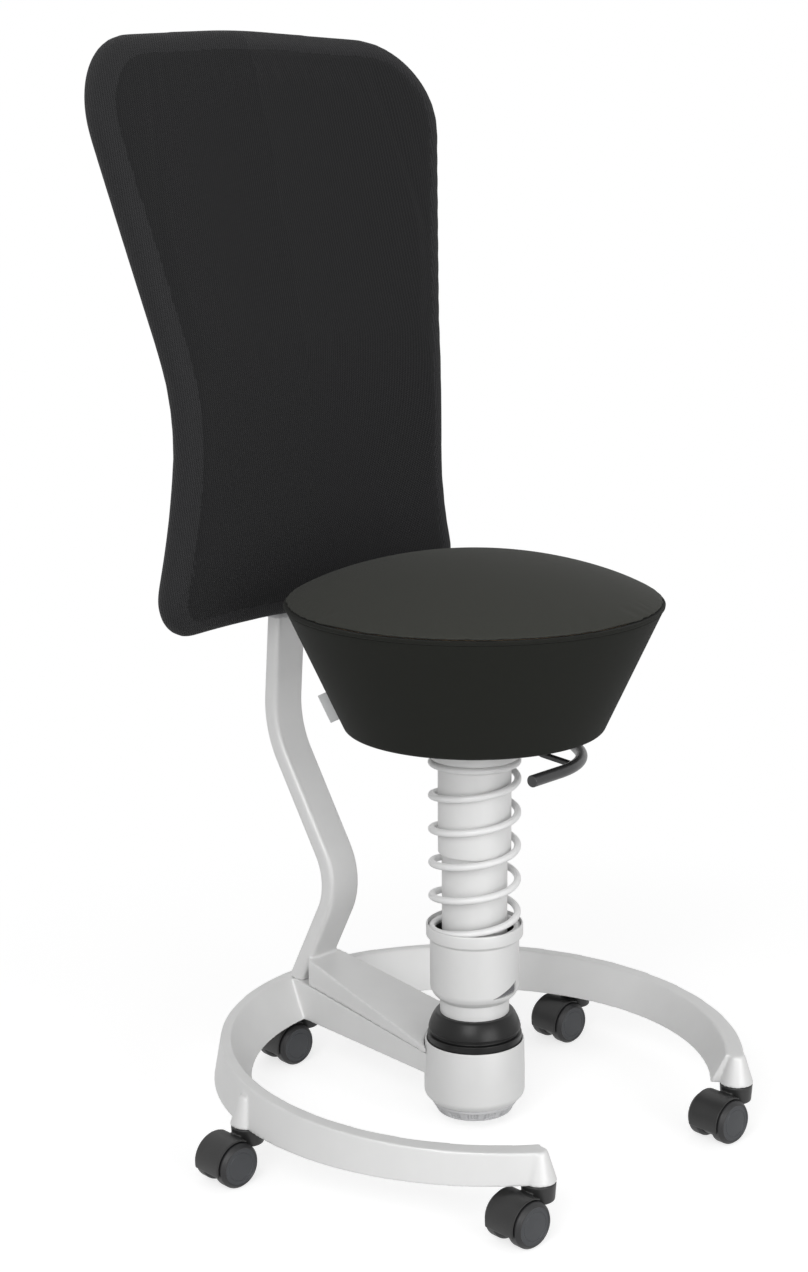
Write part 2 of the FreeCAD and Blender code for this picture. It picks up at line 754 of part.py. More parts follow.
def biarc(start, start_heading, end, end_heading):
    """Two tangent arcs between two points with given headings."""
    span = end - start
    both = start_heading + end_heading
    a = 2 * (1 - start_heading.dot(end_heading))
    b = 2 * span.dot(both)
    reach = (-b + math.sqrt(b * b + 4 * a * span.dot(span))) / (2 * a)
    first = start + start_heading * reach
    last = end - end_heading * reach
    join = (first + last) * 0.5
    return [tangent_arc(start, start_heading, join), tangent_arc(join, (last - first).normalize(), end)]


def tangent_arc(start, heading, end):
    """Arc from start, leaving along heading, to end."""
    chord = end - start
    across = (chord - heading * chord.dot(heading)).normalize()
    half = heading.getAngle(chord)
    radius = chord.Length / (2 * math.sin(half))
    centre = start + across * radius
    middle = centre + ((start + end) * 0.5 - centre).normalize() * radius
    return Part.Arc(start, middle, end).toShape()


def main_spring():
    """Coil spring with flat ends, one unbroken wire."""
    points = coil_points()
    edges = [Part.LineSegment(points[0][0] - points[0][1] * spring_stub, points[0][0]).toShape()]
    for (here, heading), (there, next_heading) in zip(points, points[1:]):
        edges += biarc(here, heading, there, next_heading)
    edges.append(Part.LineSegment(points[-1][0], points[-1][0] + points[-1][1] * spring_stub).toShape())
    path = Part.Wire(edges)
    print("spring least self gap %.2f mm" % self_gap(edges, 2 * wire_radius))
    return rod_along(path, wire_radius)


def self_gap(edges, diameter):
    """Least gap between turns, measured on points along the wire."""
    step = diameter / 2
    samples = []
    for edge in edges:
        count = max(2, int(edge.Length / step))
        samples += edge.discretize(count)[:-1]
    apart = int(math.pi * coil_outer_radius / step)
    least = min((a - b).Length for i, a in enumerate(samples) for b in samples[i + apart:])
    return least - diameter


def upper_tube():
    return tube(upper_tube_radius, upper_tube_radius - upper_tube_wall, upper_tube_bottom_z, upper_tube_top_z)


def guide_bush():
    """Slide bush in the upper tube's lower end."""
    return tube(upper_tube_radius - upper_tube_wall, lower_tube_radius + running_fit,
                upper_tube_bottom_z, upper_tube_bottom_z + bush_length)


def tube_bush():
    """Slide bush round the lower tube's top."""
    return tube(upper_tube_radius - upper_tube_wall - running_fit, lower_tube_radius,
                lower_tube_top_z - bush_length, lower_tube_top_z)


def spring_top_seat():
    """Ring on the upper tube that the spring pushes up."""
    low = coil_top_z + body_gap / 2
    high = low + spring_seat_height
    edge = spring_seat_edge
    outer = coil_outer_radius - spring_seat_inset
    return turned([(upper_tube_radius, low), (outer - edge, low), (outer, low + edge), (outer, high - edge),
                   (outer - edge, high), (upper_tube_radius, high)])


def gas_guide():
    """Guide tube of the gas spring, hung in the upper tube's top."""
    bore = gas_tube_radius + running_fit
    outer = bore + guide_wall
    flange = upper_tube_radius - upper_tube_wall
    top = upper_tube_top_z
    floor_top = guide_floor_z + guide_floor
    return turned([(gas_rod_radius, guide_floor_z), (outer, guide_floor_z), (outer, top - guide_flange),
                   (flange, top - guide_flange), (flange, top), (bore, top), (bore, floor_top),
                   (gas_rod_radius, floor_top)])


def gas_rod():
    """Piston rod, turning in the guide's floor and held by a clip under it."""
    rod = gas_rod_radius - running_fit
    clip_top = guide_floor_z - body_gap
    clip_low = clip_top - gas_rod_clip
    piston = gas_tube_radius - gas_tube_wall - gas_piston_play
    piston_low = gas_tube_bottom_z + gas_tube_end + body_gap
    piston_high = piston_low + gas_piston_height
    return turned([(0, clip_low), (2 * rod, clip_low), (2 * rod, clip_top), (rod, clip_top),
                   (rod, piston_low), (piston, piston_low), (piston, piston_high), (0, piston_high)])


def gas_cylinder():
    """Pressure tube with its tapered top in the seat hub and a bore for the valve pin."""
    bore = gas_tube_radius - gas_tube_wall
    end_z = gas_tube_bottom_z + gas_tube_end
    valve = gas_valve_radius + running_fit
    return turned([(gas_rod_radius, gas_tube_bottom_z), (gas_tube_radius, gas_tube_bottom_z),
                   (gas_tube_radius, gas_cone_z), (gas_tube_radius - gas_cone_taper, gas_top_z),
                   (valve, gas_top_z), (valve, gas_cone_z), (bore, gas_cone_z), (bore, end_z),
                   (gas_rod_radius, end_z)])


def gas_valve():
    """Valve pin in the cylinder's top, pressed down by the lever's end."""
    top = lever_pivot_z - lever_arm_radius - 2 * body_gap
    return upright(gas_valve_radius, top - gas_valve_length, top)


def seat_hub():
    """Tapered socket for the gas spring: flange under the plate, ribs, and ears for the lever's pin."""
    top = plate_bottom_z
    low = top - hub_height
    half = hub_flange_half

    def plane(u, w):
        return V(u, w, top - hub_flange)

    outline = rounded_outline([(-half, -half, hub_corner), (half, -half, hub_corner),
                               (half, half, hub_corner), (-half, half, hub_corner)], plane)
    hub = upright(hub_boss_radius, low, top).fuse(Part.Face(outline).extrude(V(0, 0, hub_flange)))
    for turn in hub_rib_angles:
        hub = hub.fuse(hub_rib(low, top - hub_flange, turn))
    ears = lever_block(lever_pivot_radius - ear_half_width, lever_pivot_radius + ear_half_width,
                       slot_half + ear_thickness, lever_pivot_z - ear_drop, top - hub_flange)
    hub = hub.fuse(ears).cut(gas_cylinder_space(low, top))
    for x, y in seat_screw_places():
        hub = hub.cut(upright(seat_screw_radius, low, top, V(x, y, 0)))
    slot = lever_block(-2 * lever_past_axis, 2 * half, slot_half, gas_top_z, top + hub_flange)
    return hub.cut(slot).cut(lever_pivot(lever_pin_radius)).removeSplitter()


def hub_rib(low, high, turn):
    """Triangular rib between the hub's boss and its flange."""
    side = -hub_rib_thickness / 2
    corners = [V(0, side, low), V(hub_boss_radius, side, low), V(hub_flange_half - hub_rib_inset, side, high),
               V(0, side, high)]
    rib = Part.Face(Part.makePolygon(corners + corners[:1])).extrude(V(0, hub_rib_thickness, 0))
    rib.rotate(V(0, 0, 0), UP, turn)
    return rib


def gas_cylinder_space(low, top):
    """Taper for the cylinder's top, with the straight part below it and room for the lever above."""
    narrow = gas_tube_radius - gas_cone_taper
    taper = Part.makeCone(gas_tube_radius, narrow, gas_cone_length, V(0, 0, gas_cone_z))
    straight = upright(gas_tube_radius, low - gas_room, gas_cone_z)
    return taper.fuse(upright(narrow, gas_top_z, top)).fuse(straight)


def lever_block(near, far, half_width, low, high):
    """Box along the lever's direction."""
    block = Part.makeBox(far - near, 2 * half_width, high - low, V(near, -half_width, low))
    block.rotate(V(0, 0, 0), UP, lever_angle)
    return block


def lever_pivot(radius):
    """Cylinder along the lever's pivot, as long as the pin."""
    half = slot_half + ear_thickness + lever_pin_end
    pin = Part.makeCylinder(radius, 2 * half, V(lever_pivot_radius, -half, lever_pivot_z), V(0, 1, 0))
    pin.rotate(V(0, 0, 0), UP, lever_angle)
    return pin


def seat_screw_places():
    near = seat_screw_spacing
    return [(x, y) for x in (-near, near) for y in (-near, near)]


def seat_screw(x, y):
    """Screw from the hub's flange into the seat plate."""
    at = V(x, y, 0)
    low = plate_bottom_z - hub_flange
    shank = upright(seat_screw_radius, low, seat_seam_z - seat_screw_cover, at)
    return shank.fuse(upright(seat_screw_head, low - seat_screw_head_height, low, at)).removeSplitter()


def side_radius(z):
    """Outer radius of the seat's cone at a height."""
    share = (z - seat_bottom_z) / (seat_seam_z - seat_bottom_z)
    return seat_bottom_radius + share * (seat_radius - seat_bottom_radius)


def seat_plate():
    """Round plate under the cushion."""
    low = plate_bottom_z
    plate = tube(side_radius(low) - skirt_pad, plate_hole_radius, low, seat_seam_z)
    for x, y in seat_screw_places():
        plate = plate.cut(upright(seat_screw_radius, low, seat_seam_z - seat_screw_cover, V(x, y, 0)))
    return plate


def seat_shell():
    """Thin conical shell inside the skirt, hung from the plate by its lip."""
    low = seat_bottom_z + shell_wall
    high = plate_bottom_z
    outer_low = side_radius(low) - skirt_pad
    outer_high = side_radius(high) - skirt_pad
    return turned([(outer_low - shell_wall, low), (outer_low, low), (outer_high, high),
                   (outer_high - shell_lip, high), (outer_high - shell_lip, high - shell_wall),
                   (outer_high - shell_wall, high - shell_wall)])


def seat_skirt():
    """Padded conical side of the seat, turned under the shell's edge."""
    low = seat_bottom_z
    high = seat_seam_z
    inner_low = side_radius(low + shell_wall) - skirt_pad
    inner_high = side_radius(plate_bottom_z) - skirt_pad
    fold = side_radius(low) - skirt_fold
    return turned([(fold, low), (side_radius(low) - skirt_edge, low),
                   (side_radius(low + skirt_edge), low + skirt_edge),
                   (side_radius(high - skirt_edge), high - skirt_edge), (seat_radius - seat_seam_inset, high),
                   (inner_high, high), (inner_high, plate_bottom_z), (inner_low, low + shell_wall),
                   (fold, low + shell_wall)])


def seat_cushion():
    """Crowned cushion with its edge drawn in at the seam."""
    rim = (seat_radius - seat_seam_inset, seat_seam_z)
    shoulder = (seat_radius - seat_shoulder_inset, seat_seam_z + seat_edge_rise)
    rise = seat_crown - seat_edge_rise
    ball = (shoulder[0] ** 2 + rise ** 2) / (2 * rise)
    crown_z = seat_seam_z + seat_crown
    middle = shoulder[0] / 2
    middle_z = crown_z - ball + math.sqrt(ball ** 2 - middle ** 2)
    return turned([(0, seat_seam_z), rim, bulged(rim, shoulder, seat_edge_bulge),
                   ((middle, middle_z), (0, crown_z))])


def seat_tag():
    """Small bare cloth tag that stands out of the skirt's side."""
    foot_z = seat_bottom_z + tag_rise
    lean = math.degrees(math.atan2(seat_radius - seat_bottom_radius, seat_side_height))
    tag = Part.makeBox(tag_width, tag_thickness, tag_height, V(running_fit, -tag_thickness / 2, 0))
    tag.rotate(V(0, 0, 0), V(0, 1, 0), lean)
    tag.translate(V(side_radius(foot_z), 0, foot_z))
    tag.rotate(V(0, 0, 0), UP, tag_angle)
    return tag


def lever():
    """Bent handle under the seat's edge, with a thin arm that goes up and over the gas spring."""
    turn = math.radians(lever_angle)
    out = V(math.cos(turn), math.sin(turn), 0)
    reach = seat_bottom_radius - handle_inset
    end = V(handle_end_x, -reach, handle_z)
    bend = V(handle_bend_x, handle_bend_inset - reach, handle_z)
    tip = V(handle_tip_x, handle_tip_inset - reach, handle_z)
    rod = rod_along(bent_path([end, bend, tip], [handle_bend_radius]), handle_radius)
    run = (bend - end).normalize()
    meet = end + run * ((end.y * out.x - end.x * out.y) / (run.x * out.y - run.y * out.x))
    drop = out * lever_drop_radius
    arm = bent_path([meet, drop + UP * (handle_z + lever_rise), drop + UP * lever_pivot_z,
                     out * -lever_past_axis + UP * lever_pivot_z], [lever_bend, lever_bend])
    eye = Part.makeCylinder(lever_eye_radius, 2 * lever_arm_radius,
                            V(lever_pivot_radius, -lever_arm_radius, lever_pivot_z), V(0, 1, 0))
    eye.rotate(V(0, 0, 0), UP, lever_angle)
    whole = rod.fuse(rod_along(arm, lever_arm_radius)).fuse(eye)
    return whole.cut(lever_pivot(lever_pin_radius + running_fit)).removeSplitter()


def lever_pin():
    return lever_pivot(lever_pin_radius)


def castor_frame(shape, angle):
    """Move a shape built at the origin (trail along -X, axle along Y) to its castor."""
    shape.rotate(V(0, 0, 0), UP, castor_yaw)
    shape.translate(castor_place(angle))
    return shape


def around_axle(points):
    """Solid of revolution about the castor's axle from (radius, y) points."""

    def plane(u, w):
        return V(-castor_trail + u, w, wheel_radius)

    return Part.Face(profile_wire(points, plane)).revolve(V(-castor_trail, 0, wheel_radius), V(0, 1, 0), 360)


def castor_body(angle):
    """Stem, collar, middle web and hood of one castor."""
    top = ring_bottom_z - body_gap
    inner = wheel_radius + hood_gap
    outer = inner + hood_wall
    sector = hood_sector()
    hood = around_axle([(inner, -hood_half_width), (outer, -hood_half_width), (outer, hood_half_width),
                        (inner, hood_half_width)]).common(sector)
    web = axle_cylinder(wheel_radius - web_inset, web_half_width)
    bridge = Part.makeBox(castor_trail, 2 * web_half_width, collar_bottom_z + bridge_rise - wheel_radius,
                          V(-castor_trail, -web_half_width, wheel_radius))
    top_rib = axle_cylinder(outer, web_half_width).common(sector)
    body = upright(collar_radius, collar_bottom_z, top).fuse(web).fuse(bridge).fuse(top_rib).fuse(hood)
    far = wheel_outer_face + hood_margin
    for side in (-1, 1):
        body = body.cut(around_axle([(0, side * web_half_width), (inner, side * web_half_width),
                                     (inner, side * far), (0, side * far)]))
    span = 2 * (castor_trail + outer)
    body = body.common(Part.makeBox(2 * span, 2 * span, top, V(-span, -span, 0)))
    body = body.cut(axle_cylinder(axle_radius, far))
    return castor_frame(body.fuse(upright(stem_radius, top, stem_top_z)).removeSplitter(), angle)


def axle_cylinder(radius, half_length):
    """Cylinder along the castor's axle."""
    end = V(-castor_trail, -half_length, wheel_radius)
    return Part.makeCylinder(radius, 2 * half_length, end, V(0, 1, 0))


def hood_sector():
    """Fan-shaped block about the axle that the hood is cut from."""
    far = 2 * (wheel_radius + hood_gap + hood_wall)
    corners = [V(-castor_trail, -far, wheel_radius)]
    for share in (0, 1 / 3, 2 / 3, 1):
        turn = math.radians(hood_front_angle + (hood_rear_angle - hood_front_angle) * share)
        corners.append(corners[0] + V(far * math.cos(turn), 0, far * math.sin(turn)))
    return Part.Face(Part.makePolygon(corners + corners[:1])).extrude(V(0, 2 * far, 0))


def castor_axle(angle):
    """Axle pin through the web and both wheels."""
    return castor_frame(axle_cylinder(axle_radius, wheel_outer_face - 3 * wheel_recess), angle)


def castor_wheel(angle, side):
    """One wheel with a rounded tread and a shallow dished outer face; side is -1 or 1."""
    bore = axle_radius + running_fit
    near = wheel_inner_face
    far = wheel_outer_face
    edge = wheel_tread_edge
    face = wheel_radius - wheel_rim
    dish = far - wheel_recess
    points = [(bore, near), (wheel_radius - edge / 2, near), (wheel_radius, near + edge / 2),
              (wheel_radius, far - edge), (wheel_radius - edge / 3, far - edge / 3), (face, far),
              (face - wheel_recess, dish), (2 * axle_radius, dish), (bore, dish - wheel_recess)]
    wheel = around_axle([(radius, side * place) for radius, place in points])
    return castor_frame(wheel, angle)


def back_curve(depth):
    """Side curve of the backrest at a depth behind its front: a lumbar arc between two leans."""
    radius = back_lumbar_radius - depth

    def on_arc(degrees):
        turn = math.radians(degrees)
        return V(0, back_lumbar_y + back_lumbar_radius - radius * math.cos(turn),
                 back_lumbar_z + radius * math.sin(turn))

    def lean_points(lean, end_z):
        bend = on_arc(lean)
        along = V(0, math.sin(math.radians(abs(lean))), math.copysign(math.cos(math.radians(lean)), lean))
        length = abs(end_z - bend.z) + back_thickness
        straight = [bend + along * (length * share) for share in back_curve_shares]
        return straight + [on_arc(lean / 2)]

    lower = lean_points(-back_lower_lean, back_bottom_z)
    upper = lean_points(back_upper_lean, back_top_z)
    curve = Part.BSplineCurve()
    curve.interpolate(lower + [on_arc(0)] + upper[::-1])
    return curve.toShape()


def back_slab(front, back):
    """Curved slab of the backrest between two depths behind its front face."""
    near = back_curve(front)
    far = back_curve(back)
    ends = [Part.LineSegment(near.valueAt(place), far.valueAt(other)).toShape() for place, other in
            ((near.FirstParameter, far.FirstParameter), (near.LastParameter, far.LastParameter))]
    face = Part.Face(Part.Wire(Part.sortEdges([near, far] + ends)[0]))
    axis = V(0, back_lumbar_y - back_side_radius, 0)
    half_turn = math.degrees(math.asin((back_top_half + back_margin) / back_side_radius))
    face.rotate(axis, UP, -half_turn)
    return face.revolve(axis, UP, 2 * half_turn)


def corner_half(before, corner, after):
    """Half the inner angle at a corner of an outline."""
    first = in_xz(*before) - in_xz(*corner)
    last = in_xz(*after) - in_xz(*corner)
    return first.getAngle(last) / 2


def straight_left(before, corner, after, radius):
    """Length of the side from a rounded corner to the next corner, beyond the rounding."""
    side = (in_xz(*after) - in_xz(*corner)).Length
    return side - radius / math.tan(corner_half(before, corner, after))


def waist_corner(bottom, lower, upper):
    """Corner of the waist, raised where its rounding needs a longer side below it."""
    height = back_lumbar_z - back_waist_drop
    for _ in range(waist_passes):
        waist = (back_waist_half, height)
        reach = back_waist_radius / math.tan(corner_half(lower, waist, upper))
        room = straight_left(bottom, lower, waist, back_bottom_corner_radius) - back_side_straight
        height += max(reach - room, 0)
    return back_waist_half, height


def back_prism(inset):
    """Straight prism of the backrest's front outline, drawn in by the inset."""
    bottom = (0, back_bottom_z)
    lower = (back_bottom_half, back_bottom_z + back_bottom_crown)
    upper = (back_top_half, back_top_z - back_top_crown)
    top = (0, back_top_z)
    waist = waist_corner(bottom, lower, upper)
    right = [bottom + (back_crown_radius,), lower + (back_bottom_corner_radius,), waist + (back_waist_radius,),
             upper + (back_top_corner_radius,), top + (back_crown_radius,)]
    left = [(-x, z, radius) for x, z, radius in right[3:0:-1]]
    outline = rounded_outline(right + left, in_xz)
    face = Part.Face(outline)
    if inset:
        face = Part.Face(outline.makeOffset2D(-inset))
    return face.extrude(V(0, 2 * (back_lumbar_y + back_lumbar_radius), 0))


def back_body():
    """Whole padded backrest with rounded edges."""
    body = back_slab(0, back_thickness).common(back_prism(0))
    rims = [edge for edge in body.Edges if is_rim(body, edge)]
    return body.makeFillet(back_edge_radius, rims)


def is_rim(body, edge):
    """True where a front or back face meets a side face."""
    faces = body.ancestorsOfType(edge, Part.Face)
    return sorted(is_side(face) for face in faces) == [False, True]


def is_side(face):
    """True for the faces across the thickness, whose normals have no depth."""
    first_u, last_u, first_v, last_v = face.ParameterRange
    normal = face.normalAt((first_u + last_u) / 2, (first_v + last_v) / 2)
    return abs(normal.y) < side_normal_depth


def backrest_parts():
    """Front pad, board and back pad, nested without gaps, with a pocket for the bar."""
    body = back_body()
    board = back_slab(back_front_pad, back_front_pad + back_board).common(back_prism(back_board_inset))
    pocket = swept_bar(bar_width + 2 * body_gap, bar_thickness + 2 * body_gap, bar_edge)
    front = body.common(back_slab(-back_thickness, back_front_pad)).cut(pocket)
    back = body.common(back_slab(back_front_pad, 2 * back_thickness)).cut(board).cut(pocket)
    return front, board.cut(pocket), back


def backrest_sleeve():
    """Plastic collar round the bar, just under the padding."""
    top = back_bottom_z - body_gap
    ring = swept_bar(bar_width + 2 * sleeve_wall, bar_thickness + 2 * sleeve_wall, bar_edge + sleeve_wall)
    ring = ring.cut(swept_bar(bar_width, bar_thickness, bar_edge))
    band = Part.makeBox(2 * bar_width, 2 * bar_shoulder.y, sleeve_height,
                        V(-bar_width, 0, top - sleeve_height))
    return ring.common(band)


def main():
    os.makedirs("parts", exist_ok=True)
    save("base_casting", base_casting())
    save("backrest_bar", backrest_bar())
    for index, place in enumerate(bar_screw_places, 1):
        save("bar_screw_%d" % index, bar_screw(place))
    for maker in (ball_stud, stud_nut, bearing_liner, tilt_hub, rubber_ball, buffer_ring, tension_knob,
                  spring_cup, main_spring, upper_tube, guide_bush, tube_bush, spring_top_seat, gas_guide,
                  gas_rod, gas_cylinder, gas_valve, seat_hub, seat_plate, seat_shell, seat_skirt,
                  seat_cushion, seat_tag, lever, lever_pin, backrest_sleeve):
        save(maker.__name__, maker())
    bore = lower_tube_radius - lower_tube_wall
    save("lower_tube", tube(lower_tube_radius, bore, lower_tube_bottom_z, lower_tube_top_z))
    for index, (x, y) in enumerate(seat_screw_places(), 1):
        save("seat_screw_%d" % index, seat_screw(x, y))
    for name, shape in zip(("backrest_front_pad", "backrest_board", "backrest_back_pad"), backrest_parts()):
        save(name, shape)
    for index, angle in enumerate(castor_angles, 1):
        save("castor_%d_body" % index, castor_body(angle))
        save("castor_%d_axle" % index, castor_axle(angle))
        save("castor_%d_wheel_a" % index, castor_wheel(angle, -1))
        save("castor_%d_wheel_b" % index, castor_wheel(angle, 1))


main()
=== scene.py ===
import math

import bmesh
import bpy
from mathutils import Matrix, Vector, kdtree


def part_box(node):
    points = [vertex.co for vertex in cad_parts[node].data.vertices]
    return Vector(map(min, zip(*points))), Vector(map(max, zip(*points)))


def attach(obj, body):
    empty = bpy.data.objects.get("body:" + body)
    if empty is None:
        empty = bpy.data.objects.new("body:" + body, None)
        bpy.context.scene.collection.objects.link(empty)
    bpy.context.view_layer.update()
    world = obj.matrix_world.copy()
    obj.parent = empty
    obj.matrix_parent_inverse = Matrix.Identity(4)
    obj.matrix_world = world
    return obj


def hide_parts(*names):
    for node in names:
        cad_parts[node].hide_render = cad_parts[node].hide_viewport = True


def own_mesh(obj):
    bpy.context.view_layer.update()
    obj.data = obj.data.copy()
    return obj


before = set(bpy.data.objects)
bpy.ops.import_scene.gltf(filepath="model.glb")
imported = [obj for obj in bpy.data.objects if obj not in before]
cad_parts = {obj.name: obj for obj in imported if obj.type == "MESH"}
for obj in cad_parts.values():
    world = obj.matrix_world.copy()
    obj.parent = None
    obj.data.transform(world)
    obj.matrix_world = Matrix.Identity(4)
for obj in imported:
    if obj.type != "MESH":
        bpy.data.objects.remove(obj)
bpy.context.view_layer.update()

# Looks of the balance stool. Sizes are in millimetres, and each mesh is turned into metres when it is made.
# Front is -Y, the backrest is at +Y, and the origin is on the floor under the column's axis.

MM = 0.001

# Camera of the photograph
image_width = 808
image_height = 1272
camera_distance = 2602.0
camera_azimuth = -47.73
camera_height = 1148.8
camera_pitch = 12.58
focal_pixels = 2414.0
centre_pixel_x = 474.6
sensor_size = 36.0

# Stage, with the lights in metres and watts
floor_half = 9000.0
floor_bounce = 0.55
floor_shade = 0.5
floor_glow = 0.70
floor_near = 520.0
floor_far = 1100.0
dome_low = 0.58
dome_high = 0.36
key_place = (-3.0, -1.6, 2.4)
key_target = (0.0, 0.0, 0.6)
key_size = (2.0, 2.0)
key_power = 62.0
front_place = (-0.6, -3.4, 1.0)
front_target = (0.0, 0.0, 0.5)
front_size = (2.2, 1.6)
front_power = 44.0

# Foot ring, spoke and socket
ring_half_width = 300.0
ring_half_depth = 309.0
ring_centre_y = -9.0
ring_foot = 43.5
ring_inner_lean = math.radians(26.5)
ring_outer_lean = math.radians(-10.0)
ring_bottom_z = 58.0
ring_front_z = 90.0
ring_rear_z = 109.0
ring_opening = 36.0
castor_circle = 292.0
castor_angles = (36.0, 108.0, 180.0, 252.0, 324.0)
boss_foot_radius = 19.5
boss_top_radius = 9.0
boss_height = 34.0
boss_edge = 4.0
spoke_rear_half = 23.5
spoke_front_half = 48.0
spoke_rear_y = 276.0
spoke_front_y = 36.0
spoke_end_y = 28.0
seam_rear_z = 105.5
seam_front_z = 83.0
socket_radius = 57.8
socket_wall = 3.0
socket_rim_z = 97.7
socket_floor_z = 40.0
socket_bottom_z = 27.0
socket_shoulder_z = 33.5
socket_foot_radius = 51.5
collar_radius = 30.0
collar_bottom_z = 14.0
nut_pocket_radius = 15.2
nut_pocket_top_z = 23.2
stud_radius = 8.05
bar_screw_places = (212.0, 118.0)
bar_screw_head = 8.7
bar_screw_head_height = 8.1
cut_margin = 5.0
base_voxel = 1.5
bar_voxel = 1.6
cast_smoothing = 4

# Backrest bar and its wedge foot
bar_width = 46.0
bar_thickness = 22.0
bar_edge = 6.0
bar_foot = Vector((268.0, 118.0))
bar_knee = Vector((206.5, 237.0))
bar_shoulder = Vector((313.0, 412.0))
bar_top = Vector((286.24, 752.0))
bar_knee_radius = 75.0
bar_shoulder_radius = 120.0
bar_tail = 40.0
wedge_rear_y = 247.0
wedge_rear_z = 137.0
wedge_front_z = 92.0
wedge_gap = 0.4
seam_gap = 1.2
sleeve_gap = 0.2
sleeve_wall = 2.5

# Column
ball_centre_z = 100.0
rubber_radius = 54.2
rubber_bottom_z = 80.0
rubber_groove_z = 108.2
rubber_groove_width = 5.4
rubber_groove_depth = 4.0
rubber_lip = 2.0
rubber_cap = 8.0
rubber_foot = 6.0
hub_core_radius = 29.8
neck_radius = 39.5
lower_tube_radius = 37.1
knob_grips = 14
knob_overhang = 3.0
knob_taper = 6.5
knob_rim = 3.0
knob_bore = 30.1
cell_share = 0.68
cell_low = 0.16
cell_high = 0.86
cell_depth = 2.6
cell_ribs = 4
cell_rib_height = 1.2
coil_radius = 48.5
wire_radius = 4.0
wire_edge = 0.8
coil_start = -81.7
coil_quarters = 25
coil_flat_quarters = 2
coil_blend = 1.0
coil_stub = 8.0
cup_radius = coil_radius + wire_radius - 1.7
cup_wall = 4.6
cup_floor = 12.0
cup_collar_wall = 1.7
# Depth under the cup's rim where the painted black shade of the hollow begins
cup_rim_above_painted_shade = 5.0
pointer_start = -112.0
pointer_end = -70.0
pointer_foot = 12.0
pointer_height = 14.0
pointer_depth = 2.8
pointer_ribs = 6

# Seat
seat_radius = 210.5
seat_bottom_radius = 145.0
seat_seam_z = 607.94
seat_bottom_z = 464.94
seat_crown_z = 658.94
seat_lap = 30.0
skirt_fold_radius = 121.0
skirt_pad = 11.0
skirt_top = 10.0
shell_wall = 3.0
welt_depth = 7.0
tag_width = 11.3
tag_height = 34.0
tag_half = 0.6
tag_angle = math.radians(134.0)
tag_foot = 10.0
tag_ripple = 0.35

# Height lever: the handle in plan, and the arm in (outwards, up) along its own direction
lever_z = 437.94
lever_points = (Vector((-54.0, -131.0)), Vector((48.8, -128.3)), Vector((94.0, -64.0)))
lever_bend = 110.0
lever_radius = 6.7
lever_edge = 1.2
arm_angle = math.radians(-78.0)
arm_reach = 126.0
arm_drop = 78.0
arm_rise = 8.0
arm_pivot = Vector((-3.0, 587.94))
arm_bend = 12.0
arm_half_width = 3.6
arm_half_thick = 2.6

# Backrest
back_bottom_z = 558.5
back_top_z = 1221.4
back_lumbar_y = 252.04
back_lumbar_z = 775.0
back_lumbar_radius = 432.6
back_upper_lean = math.radians(13.9)
back_lower_lean = math.radians(-4.6)
back_side_radius = 760.0
back_bottom_half = 236.1
back_bottom_crown = 3.9
back_waist_half = 186.2
back_waist_z = 760.7
back_top_half = 275.8
back_top_crown = 14.3
back_waist_radius = 610.0
back_crown_radius = 900.0
back_bottom_corner = 43.0
back_top_corner = 89.0
back_thickness = 46.0
back_fullness = 5.0
border_width = 21.0
border_slack = 1.5
border_profile = ((1.0, 0.0), (0.66, 0.11), (0.38, 0.24), (0.16, 0.42), (0.03, 0.66), (0.0, 1.0))
border_outset = 4.0
panel_shares = (0.05, 0.2, 0.35, 0.5, 0.65, 0.8, 0.92)
crease_depth = 1.0
crease_half = 3.0
crease_hold = 5.0

# Swelling of the pads
pad_voxel = 5.0
pad_smoothing = 7
pad_pressure = 4.0
pad_frames = 20

# Castors, with the stem at the local origin, the trail along -X and the axle along Y
castor_trail = 30.5
castor_yaw = math.radians(-4.0)
wheel_radius = 25.0
wheel_near = 8.5
wheel_far = 26.0
wheel_bore = 4.1
wheel_face_radius = 20.2
wheel_face_steps = ((20.6, 0.0, 0.5), (19.8, 0.9, 0.4), (16.4, 0.6, 0.3), (16.0, 1.0, 0.2),
                    (15.4, 1.0, 0.2), (15.0, 0.6, 0.3), (0, 0.6, 0))
web_half = 7.8
web_bore = 4.0
web_radius = 21.0
bridge_rise = 13.0
hood_inner = 26.0
hood_outer = 27.8
hood_half = 20.5
hood_front = 62.0
hood_rear = 196.0
castor_collar_radius = 18.8
castor_collar_low = 37.0
castor_collar_high = 57.7
castor_voxel = 0.9


# Shapes: lists of points in millimetres, and of faces


def polar(radius, turn, z=0.0):
    return Vector((radius * math.cos(turn), radius * math.sin(turn), z))


def out_and_side(turn):
    """Directions away from the upright axis and round it."""
    return polar(1.0, turn), Vector((-math.sin(turn), math.cos(turn), 0))


def rounded(corners, closed=True, spacing=1.5):
    """Outline points of straight lines whose corners (u, w, radius) are rounded by arcs."""
    count = len(corners)
    points = []
    for index, (u, w, radius) in enumerate(corners):
        corner = Vector((u, w))
        open_end = not closed and index in (0, count - 1)
        if open_end or radius == 0:
            points.append((u, w))
            continue
        before = (Vector(corners[index - 1][:2]) - corner).normalized()
        after = (Vector(corners[(index + 1) % count][:2]) - corner).normalized()
        half = before.angle(after) / 2
        centre = corner + (before + after).normalized() * (radius / math.sin(half))
        start = corner + before * (radius / math.tan(half)) - centre
        end = corner + after * (radius / math.tan(half)) - centre
        first = math.atan2(start.y, start.x)
        sweep = (math.atan2(end.y, end.x) - first + math.pi) % (2 * math.pi) - math.pi
        steps = max(4, int(radius * abs(sweep) / spacing))
        for step in range(steps + 1):
            turn = first + sweep * step / steps
            points.append((centre.x + radius * math.cos(turn), centre.y + radius * math.sin(turn)))
    return points


